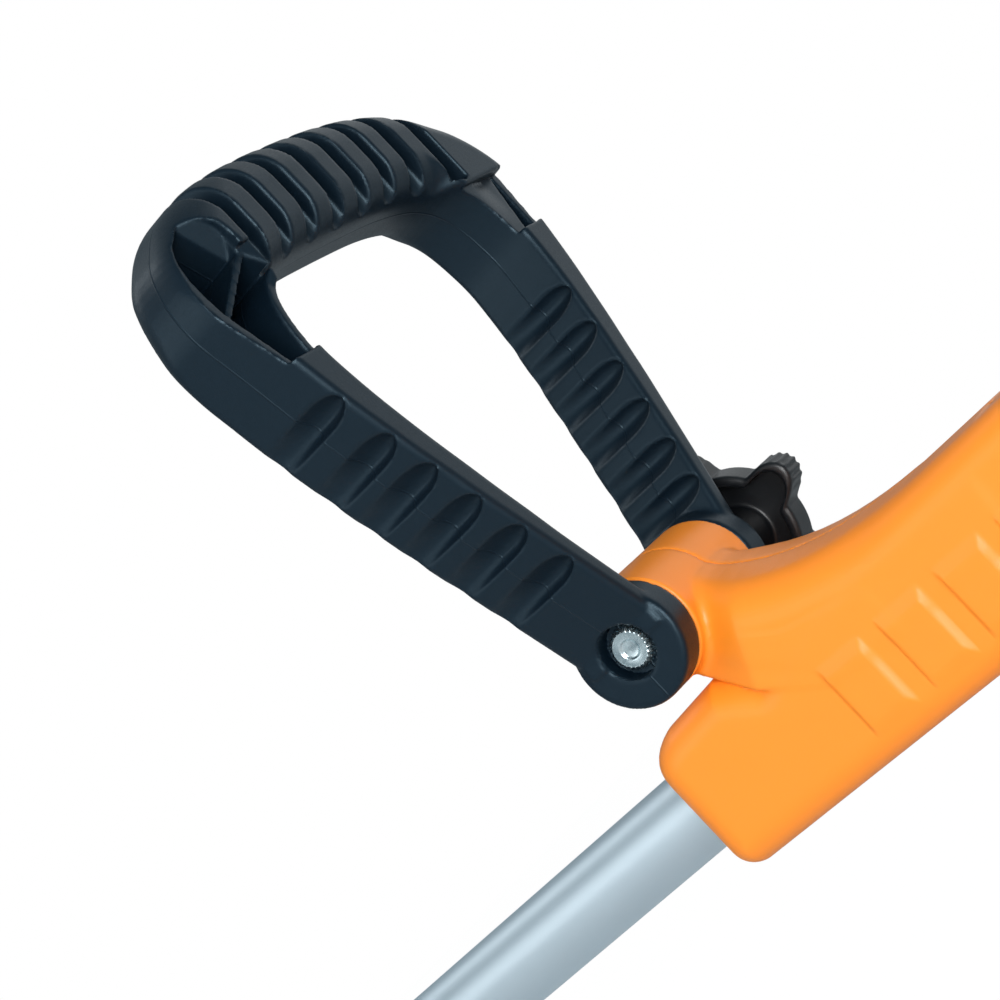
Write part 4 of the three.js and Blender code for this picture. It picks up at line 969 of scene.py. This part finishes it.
def trigger_field(x, y, z):
    x, z = x - TRIGGER_X, z - TRIGGER_Z
    lever = slab(inside_outline(trigger_blade, x, z), y, 6, 2.4)
    pin = np.hypot(x, z)
    return both(either(lever, slab(pin - 5.5, y, 6, 0.6), 1.5), 1.8 - pin)


put(moulded_piece("trigger_lever", trigger_field,
                  (steps((165, 238, 0.8)), steps((-7, 7, 0.6)), steps((-43, -3, 0.7))),
                  at_shaft, black_nylon), "trigger", "black_nylon", "trigger")

LOCK_X = 190


def lock_field(x, y, z):
    flange = block(x, y, z, (LOCK_X - 10, -7, 16.1), (LOCK_X + 10, 7, 19.1), 0.6)
    stem = block(x, y, z, (LOCK_X - 7, -5, 16.1), (LOCK_X + 7, 5, 28), 1.2)
    grooves = both(np.abs((x - LOCK_X + 1.5) % 3 - 1.5) - 0.7, 27.3 - z)
    return without(either(flange, stem, 0.5), both(grooves, np.abs(y) - 3.6), 0.3)


put(moulded_piece("lock_off_button", lock_field,
                  (steps((178, 202, 0.5)), steps((-8, 8, 0.5)), steps((15, 29, 0.4))),
                  at_shaft, black_nylon), "lock_button", "black_nylon", "lock_button")

spring_wire = plated_steel("spring_steel_wire", "#8f9497", 0.32)
coil = growing_tree("wound_wire", wound_wire, Turns="Float", Radius="Float", Height="Float",
                    Wire="Float")
for name, node, x, low, high, radius, joint, seat, keep in (
        ("trigger_spring_coil", "trigger_spring", TRIGGER_X + 43, -15.2, -7.5, 2.6,
         "trigger_pull", -7.0, 0.27),
        ("lock_spring_coil", "lock_spring", LOCK_X, 7.5, 15.3, 3.0,
         "lock_button_press", 7.0, 0.6)):
    spring = grown(name, coil, at_shaft @ Matrix.Translation((x, 0, low)), spring_wire,
                   Turns=4.0, Radius=radius, Height=high - low, Wire=0.5)
    put(spring, "frame", "steel", node)
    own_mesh(spring)

grey_plastic = moulded_plastic("grey_moulded_plastic", "#6c7073", 0.5, 0.4 * MM, 0.004 * MM)
dress(grey_plastic, "switch_block")
dress(zinc_steel, "trigger_pin")


# ------------------------------------------------------------
# Motor: a universal motor lying along the barrel, with stacked laminations, a turned copper
# commutator, two carbon brushes in brass holders, and a grey fan in front.

def laminated_steel(name, colour):
    """Stacked varnished sheets: fine rings along the motor's axis, slightly uneven in tone."""
    material, tree, shader, place = finish(name, colour, 0.45, Metallic=0.8)
    sheet = 1.2 * MM  # real sheets are 0.5 mm, and are drawn coarser so that they show
    rings = add(tree, "ShaderNodeTexWave", {
        "Vector": place, "Scale": 0.32 / sheet, "Distortion": 0.4, "Detail": 2.0},
        wave_type="BANDS", bands_direction="X").outputs["Fac"]
    texture(tree, shader, spread(tree, rings, 0.38, 0.55), rings, 0.1 * MM, 0.4)
    return material


turned_brass = plated_steel("turned_brass", "#bb994f", 0.25)
ground_steel = plated_steel("ground_steel", "#a5a9ab", 0.22)
dress(laminated_steel("varnished_laminations", "#5c6164"), "stator", "armature")
dress(plated_steel("turned_copper", "#b4693c", 0.25), "commutator")
dress(turned_brass, "brush_holder_upper", "brush_holder_lower")
dress(moulded_plastic("pressed_carbon", "#1e1e1f", 0.6, 0.3 * MM, 0.006 * MM),
      "carbon_brush_upper", "carbon_brush_lower")
dress(ground_steel, "front_motor_bearing", "rear_motor_bearing", "motor_shaft")

FAN_FRONT = 309
FAN_BLADES = 9

# Each blade stands on the fan's disc, and leans back as it goes outwards.
points = []
for out in np.linspace(0, 1, 9):
    radius = 14 + 27 * out
    for x in (FAN_FRONT + 1.2, FAN_FRONT + 9 - 2.2 * out):
        for half in (-0.8, 0.8):
            angle = 0.55 * out ** 1.3 + half / radius
            points.append((x, radius * math.cos(angle), radius * math.sin(angle)))
faces = [(0, 1, 3, 2), (34, 32, 33, 35)]
for i in range(0, 32, 4):
    faces += [(i + a, i + b, i + b + 4, i + a + 4) for a, b in ((1, 0), (0, 2), (2, 3), (3, 1))]
put(copied("fan_blades", points, faces, at_shaft, grey_plastic, [(0, 0, 0)] * FAN_BLADES,
           [(2 * math.pi * i / FAN_BLADES, 0, 0) for i in range(FAN_BLADES)]),
    "drive_line", "grey_plastic")
put(turned_piece("fan_disc", [(5.3, FAN_FRONT - 2), (12, FAN_FRONT - 2), (12, FAN_FRONT),
                              (42, FAN_FRONT), (42, FAN_FRONT + 2), (5.3, FAN_FRONT + 2)],
                 64, at_shaft, grey_plastic), "drive_line", "grey_plastic", "cooling_fan")


# ------------------------------------------------------------
# Drive line: a long steel shaft in three grey guide bushes, joined to the motor's shaft by a
# turned coupling, with a bevel pinion at its front end.

dress(ground_steel, "shaft_coupling", "drive_shaft", "pinion_gear")
dress(grey_plastic, "shaft_bush_front", "shaft_bush_middle", "shaft_bush_rear")


# ------------------------------------------------------------
# Gear head: a die-cast aluminium case that clamps the tube and holds the bevel gears. Its cap
# is pressed in from above, and one screw closes the clamp.

def cast_aluminium(name, colour):
    """Die-cast and blasted: a pale grey metal with a fine, slightly pitted skin."""
    material, tree, shader, place = finish(name, colour, 0.5, Metallic=0.9)
    pits = noise(tree, place, 0.8 * MM, 5.0, 0.6)
    cloud = noise(tree, place, 15 * MM, 3.0)
    texture(tree, shader, spread(tree, cloud, 0.42, 0.6), pits, 0.12 * MM, 0.25)
    return material


HEAD_DISTANCE = 1230
HEAD_ANGLE = math.radians(32)
spindle_up = Vector(joints["cutting_head_spin"]["axis"])
crossing = pivot - shaft_up * PIVOT_HEIGHT * MM - shaft_axis * HEAD_DISTANCE * MM
at_head = local_frame(crossing, Vector((0, 1, 0)).cross(spindle_up), spindle_up)

CASE_RADIUS = 24
CASE_BOTTOM = -30.0
CAP_FLANGE = 30
SOCKET_RADIUS = 18
TUBE_STOP = 45.5
SOCKET_END = 86.5
CASE_TOP = 30.8
CLAMP_X = 66.5


def gear_case_field(x, y, z):
    # Places along the shaft and square to it, about the crossing of shaft and spindle.
    along = x * math.cos(HEAD_ANGLE) + z * math.sin(HEAD_ANGLE)
    square = z * math.cos(HEAD_ANGLE) - x * math.sin(HEAD_ANGLE)
    radius, reach = np.hypot(x, y), np.hypot(y, square)
    barrel = slab(radius - CASE_RADIUS, z - (CASE_TOP - 26) / 2, (CASE_TOP + 26) / 2, 0.8)
    pad = slab(radius - CAP_FLANGE, z - CASE_BOTTOM - 4, 4, 1.2)
    socket = slab(reach - SOCKET_RADIUS, along - (SOCKET_END + 18) / 2,
                  (SOCKET_END - 18) / 2, 1.2)
    ear = block(along, y, square, (CLAMP_X - 9, -11, -31), (CLAMP_X + 9, 11, -12), 2.5)
    case = either(either(barrel, socket, 7), pad, 3)
    case = either(case, ear, 3)
    # Two raised bands round the socket, as a casting has.
    for band in (50, SOCKET_END - 3.2):
        case = either(case, slab(reach - SOCKET_RADIUS - 1.0, along - band, 2.4, 0.8), 1.0)
    case = without(case, both(CASE_TOP - z, radius - 24.6), 0.3)  # the cap's seat
    # Room for the gears, the input bearing, the tube, the spindle and its bearing.
    room = both(radius - 20.5, 3 - z)
    room = np.minimum(room, both(reach - 14.8, both(8 - along, along - TUBE_STOP)))
    room = np.minimum(room, both(reach - 13.2, TUBE_STOP - along))
    room = np.minimum(room, both(radius - 8, z - 9))
    room = np.minimum(room, both(radius - 13.3, z + 11.7))
    case = without(case, room, 0.3)
    slit = both(both(np.abs(y) - 1, square), TUBE_STOP + 6 - along)
    return without(case, slit, 0.3)


blasted_casting = cast_aluminium("blasted_casting", "#9fa3a6")
put(moulded_piece("gear_case_casting", gear_case_field,
                  (steps((-32, 92, 1.0)), steps((-32, 32, 1.0)), steps((-32, 62, 1.0))),
                  at_head, blasted_casting), "frame", "cast_aluminium", "gear_case")
put(turned_piece("gear_case_lid", [
    (0, 36.1), (11, 36.1), (12, 35.3), (14, 35.3), (15, 36.1), (18, 36.1), (24, 34.1),
    (24, 31.1), (20.2, 31.1), (20.2, 27.1), (5.6, 27.1), (5.6, 33.1), (0, 33.1)], 64, at_head,
    blasted_casting, "z", 0.5), "frame", "cast_aluminium", "gear_case_cap")
put(screws("clamp_socket_screw", 4.5, 3.7, 21, 2.5,
           at_shaft @ Matrix.Translation((-HEAD_DISTANCE, 0, 0)), [(CLAMP_X, 11.3, -24)],
           [(0, 0.4, 0)]), "frame", "steel", "clamp_screw")
dress(ground_steel, "input_bearing", "output_bearing", "output_spindle", "crown_gear")


# ------------------------------------------------------------
# Guard: a black moulded shield screwed under the gear case, with a skirt round its rear and
# stiffening ribs on top. A stamped steel blade in the skirt cuts the line to length.

GUARD_RADIUS = 172
GUARD_REACH = 166
GUARD_TOP = -30.3
GUARD_BOTTOM = -93
GUARD_WALL = 3.5
GUARD_SIDE = 70
RIB_ANGLE = 0.34
guard_front = GUARD_RADIUS * math.cos(math.radians(GUARD_SIDE))


def skirt_arcs(radius, reach, side):
    """A round plan from one side to the other, cut off straight at its reach."""
    flat = math.degrees(math.acos(reach / radius))
    return arc((0, 0), radius, -side, -flat, 24) + arc((0, 0), radius, flat, side, 24)


guard_plan = arc((0, 0), 34, 81, 279, 24) + skirt_arcs(GUARD_RADIUS, GUARD_REACH, GUARD_SIDE)
under_plan = (
    [(-60, 400), (-60, -400), (guard_front, -400)]
    + skirt_arcs(GUARD_RADIUS - GUARD_WALL, GUARD_REACH - GUARD_WALL, GUARD_SIDE + 11)
    + [(guard_front, 400)])


def guard_field(x, y, z):
    radius = np.hypot(x, y)
    plan = inside_outline(guard_plan, x, y)
    middle, half = (GUARD_TOP + GUARD_BOTTOM) / 2, (GUARD_TOP - GUARD_BOTTOM) / 2
    shield = slab(plan, z - middle, half, 2 + 3.5 * smooth((radius - 148) / 16))
    # Rounded ribs fan out over the top.
    angle = np.arctan2(y, x)
    nearest = np.clip(np.round(angle / RIB_ANGLE), -3, 3) * RIB_ANGLE
    rib = 3.4 * smooth(1 - np.abs(radius * np.sin(angle - nearest)) / 4.2)
    rib = rib * smooth((radius - 39) / 14) * smooth((158 - radius) / 24)
    shield = shield - rib * smooth((z - GUARD_TOP + 4) / 4)
    under = both(inside_outline(under_plan, x, y), z - GUARD_TOP + GUARD_WALL)
    shield = without(shield, under, 2)
    # A bead runs along the skirt's lower edge.
    bead = slab(np.abs(plan + 1.4) - 2.6, z - GUARD_BOTTOM - 3, 3, 2)
    shield = either(shield, both(bead, GUARD_RADIUS * 0.36 - x), 1)
    shield = both(shield, 16 - radius)
    return both(shield, 2.7 - np.hypot(x, np.abs(y) - 23))


put(moulded_piece("guard_moulding", guard_field,
                  (steps((-37, 176, 1.35)), steps((-166, 166, 1.35)), steps((-97, -25, 1.2))),
                  at_head, black_nylon), "frame", "black_nylon", "guard")
put(screws("guard_screws", 4.5, 3, 10, 2.4, at_head, [(0, -23, -34.1), (0, 23, -34.1)],
           [(-math.pi / 2, 0, 0.3), (-math.pi / 2, 0, 0.9)]),
    "frame", "steel", "guard_screw_left", "guard_screw_right")
dress(zinc_steel, "line_cutter")


# ------------------------------------------------------------
# Line head: a black moulded cup on the spindle with a snap-in cover, brass eyelets, and a
# spool of orange nylon line that pays out when the bump knob is tapped on the ground.

HEAD_RADIUS = 54
HEAD_TOP = 41
EYELET_DEPTH = 26
CUP_SCALLOPS = 20
at_line_head = at_head @ Matrix.Translation((0, 0, -HEAD_TOP))
cup_profile = [
    (5.3, 0), (12, 0), (14, -1.5), (30, -1.5), (33, 0), (46, 0), (50, -1.4), (53, -4),
    (HEAD_RADIUS, -8), (HEAD_RADIUS, -42), (51, -42), (51, -9), (45, -4), (11, -4), (11, -22),
    (5.3, -22)]


def cup_field(x, y, z):
    radius = np.hypot(x, y)
    cup = inside_outline(cup_profile, radius, z)
    # Finger scallops round the wall, except beside the eyelets.
    scallop = np.hypot(round_place(x, y, CUP_SCALLOPS), radius - HEAD_RADIUS - 3.6) - 5
    scallop = both(scallop, both(np.abs(z + 25) - 13, 12 - np.abs(x)))
    cup = without(cup, scallop, 0.6)
    hole = np.hypot(x, z + EYELET_DEPTH) - 3.6
    return without(cup, both(hole, 34 - radius), 0.3)


across_cup = steps((-56, 56, 1.0))
put(moulded_piece("head_cup", cup_field, (across_cup, across_cup, steps((-44, 2, 0.9))),
                  at_line_head, black_nylon), "cutting_head", "black_nylon", "head_housing")
put(turned_piece("head_cover_ring", [
    (18.6, -42.3), (47.7, -42.3), (47.7, -38.8), (50.7, -38.8), (50.7, -42.3), (54, -42.3),
    (54, -44.3), (50, -47.8), (40, -47.8), (38.5, -46.6), (26, -46.6), (24.5, -47.8),
    (18.6, -47.8)], 96, at_line_head, black_nylon, "z"),
    "cutting_head", "black_nylon", "head_cover")


def monofilament(name, colour):
    """Extruded nylon line: glossy and slightly see-through, so it glows a little inside."""
    material, tree, shader, place = finish(name, colour, 0.28, **{
        "IOR": 1.53, "Subsurface Weight": 0.35, "Subsurface Scale": 1 * MM})
    texture(tree, shader, spread(tree, noise(tree, place, 1.5 * MM), 0.22, 0.36))
    return material


orange_line = monofilament("orange_nylon_line", "#e8701e")
LINE_RADIUS = 1.2
LINE_END = 160
LINE_TURNS = 8
at_eyelets = at_line_head @ Matrix.Translation((0, 0, -EYELET_DEPTH))
for side, aimed in (("left", at_eyelets @ Matrix.Rotation(math.pi, 4, "Z")),
                    ("right", at_eyelets)):
    put(turned_piece(f"brass_eyelet_{side}", [
        (1.5, 50), (3.3, 50), (3.3, 54.3), (5.5, 54.3), (5.2, 56), (4.2, 56.6), (2.4, 56.4),
        (1.5, 55.4)], 48, aimed, turned_brass, "y", 0.15),
        "cutting_head", "brass", f"eyelet_{side}")
    put(turned_piece(f"line_end_{side}", [
        (0, 44), (LINE_RADIUS, 44), (LINE_RADIUS, LINE_END - 0.4), (1.0, LINE_END),
        (0, LINE_END)], 16, aimed, orange_line, "y", 0.1),
        "cutting_head", "nylon_line", f"cutting_line_{side}")

put(turned_piece("line_spool", [
    (11.5, -11), (46, -11), (46, -13), (20, -13), (20, -35), (46, -35), (46, -37),
    (11.5, -37)], 64, at_line_head, grey_plastic, "z"), "bump_feed", "grey_plastic", "spool")

# The wound line: an inner package with a ridge for each turn, and the outer layer round it.
package = [(20.3, -13.4), (20.3, -34.6)]
for turn in range(LINE_TURNS):
    package += arc((33.5, -34.3 + 2.55 * turn + LINE_RADIUS), LINE_RADIUS, -80, 80, 5)
put(turned_piece("wound_line_package", package, 64, at_line_head, orange_line, "z", 0.0),
    "bump_feed", "nylon_line", "wound_line")
put(grown("wound_line_layer", coil, at_line_head @ Matrix.Translation((0, 0, -33.4)),
          orange_line, Turns=float(LINE_TURNS), Radius=35.7, Height=18.8, Wire=LINE_RADIUS),
    "bump_feed", "nylon_line")

KNOB_SCALLOPS = 12
knob_profile = [(0, -60), (11, -60), (11, -37.3), (18, -37.3), (18, -55), (24, -56.5), (25, -58),
                (25, -66), (23.5, -69.5), (18, -72), (9, -73), (0, -73)]


def bump_knob_field(x, y, z):
    radius = np.hypot(x, y)
    scallop = np.hypot(round_place(x, y, KNOB_SCALLOPS), radius - 28.4) - 5
    return without(inside_outline(knob_profile, radius, z),
                   both(scallop, both(z + 56, -75 - z)), 0.8)


across_knob = steps((-26.5, 26.5, 0.8))
put(moulded_piece("bump_knob_moulding", bump_knob_field,
                  (across_knob, across_knob, steps((-74.5, -36, 0.8))), at_line_head,
                  black_nylon), "bump_feed", "black_nylon", "bump_knob")

bump_spring = grown("bump_spring_coil", coil,
                    at_line_head @ Matrix.Translation((0, 0, -58.9)), spring_wire,
                    Turns=6.0, Radius=8.0, Height=35.8, Wire=0.8)
put(bump_spring, "cutting_head", "steel", "bump_spring")
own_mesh(bump_spring)


# ------------------------------------------------------------
# Studio: a white floor and world, plain soft lights, and the camera, which looks closely at
# the loop handle from the left and from the front.

def white_floor():
    """Seen directly, a white sheet that still takes a faint shadow."""
    material, tree = blank("white_floor")
    path = add(tree, "ShaderNodeLightPath")
    seen = add(tree, "ShaderNodeMath", {0: path.outputs["Is Camera Ray"], 1: 0.97},
               operation="MULTIPLY")
    matt = add(tree, "ShaderNodeBsdfDiffuse", {"Color": linear("#e6e6e6")})
    glow = add(tree, "ShaderNodeEmission", {"Color": (1, 1, 1, 1), "Strength": 1.02})
    mix = add(tree, "ShaderNodeMixShader", {
        0: seen.outputs[0], 1: matt.outputs[0], 2: glow.outputs[0]})
    add(tree, "ShaderNodeOutputMaterial", {"Surface": mix.outputs[0]})
    return material


linked("floor", plain_mesh(
    "floor", [(-6, -6, 0), (6, -6, 0), (6, 6, 0), (-6, 6, 0)], [(0, 1, 2, 3)],
    white_floor()))

world = bpy.data.worlds.new("studio")
bpy.context.scene.world = world
world.use_nodes = True
tree = world.node_tree
tree.nodes.clear()
path = add(tree, "ShaderNodeLightPath")
seen = add(tree, "ShaderNodeMath", {0: path.outputs["Is Camera Ray"],
                                    1: path.outputs["Is Transmission Ray"]},
           operation="MAXIMUM")
soft = spread(tree, path.outputs["Is Glossy Ray"], 0.34, 0.28)
level = add(tree, "ShaderNodeMath", {0: soft, 1: seen.outputs[0]}, operation="MAXIMUM")
tint = add(tree, "ShaderNodeMix", {"Factor": seen.outputs[0], 6: (0.74, 0.91, 1.0, 1.0),
                                   7: (1.0, 1.0, 1.0, 1.0)}, data_type="RGBA")
sky = add(tree, "ShaderNodeBackground", {"Color": tint.outputs[2],
                                         "Strength": level.outputs[0]})
add(tree, "ShaderNodeOutputWorld", {"Surface": sky.outputs[0]})

azimuth, elevation, roll = math.radians(30.86), math.radians(-3.36), math.radians(43.33)
back = Vector((math.sin(azimuth) * math.cos(elevation), -math.cos(azimuth) * math.cos(elevation),
               math.sin(elevation)))
level_right = Vector((math.cos(azimuth), math.sin(azimuth), 0))
level_up = back.cross(level_right)
right = level_right * math.cos(roll) - level_up * math.sin(roll)
up = level_right * math.sin(roll) + level_up * math.cos(roll)
to_row = at_pivot.to_3x3() * (1 / MM)
eye = pivot + to_row @ (back * 0.750 - right * 0.0490 + up * 0.02977)

camera_data = bpy.data.cameras.new("camera")
camera_data.lens = 95.9
camera_data.clip_start = 0.01
camera = linked("camera", camera_data)
turn = Matrix((to_row @ right, to_row @ up, to_row @ back)).transposed().to_4x4()
turn.translation = eye
camera.matrix_world = turn
bpy.context.scene.camera = camera

# Each light's place is given about the pivot, along the camera's own right, up and back.
for name, rightward, upward, backward, width, height, watts in (
        ("front_softbox", 0.15, -0.1, 1.9, 1.7, 1.7, 118),
        ("left_softbox", -1.6, 0.6, -0.7, 0.5, 1.0, 3),
        ("low_softbox", -1.33, -0.40, 0.55, 0.8, 0.8, 3),
        ("top_softbox", 0.45, 1.0, -1.05, 1.8, 1.3, 4.5)):
    data = bpy.data.lights.new(name, "AREA")
    data.shape = "RECTANGLE"
    data.size, data.size_y, data.energy = width, height, watts
    lamp = linked(name, data)
    towards = to_row @ (right * rightward + up * upward + back * backward)
    lamp.location = pivot + towards
    lamp.rotation_euler = towards.to_track_quat("Z", "Y").to_euler()

bpy.context.scene.view_settings.view_transform = "Standard"
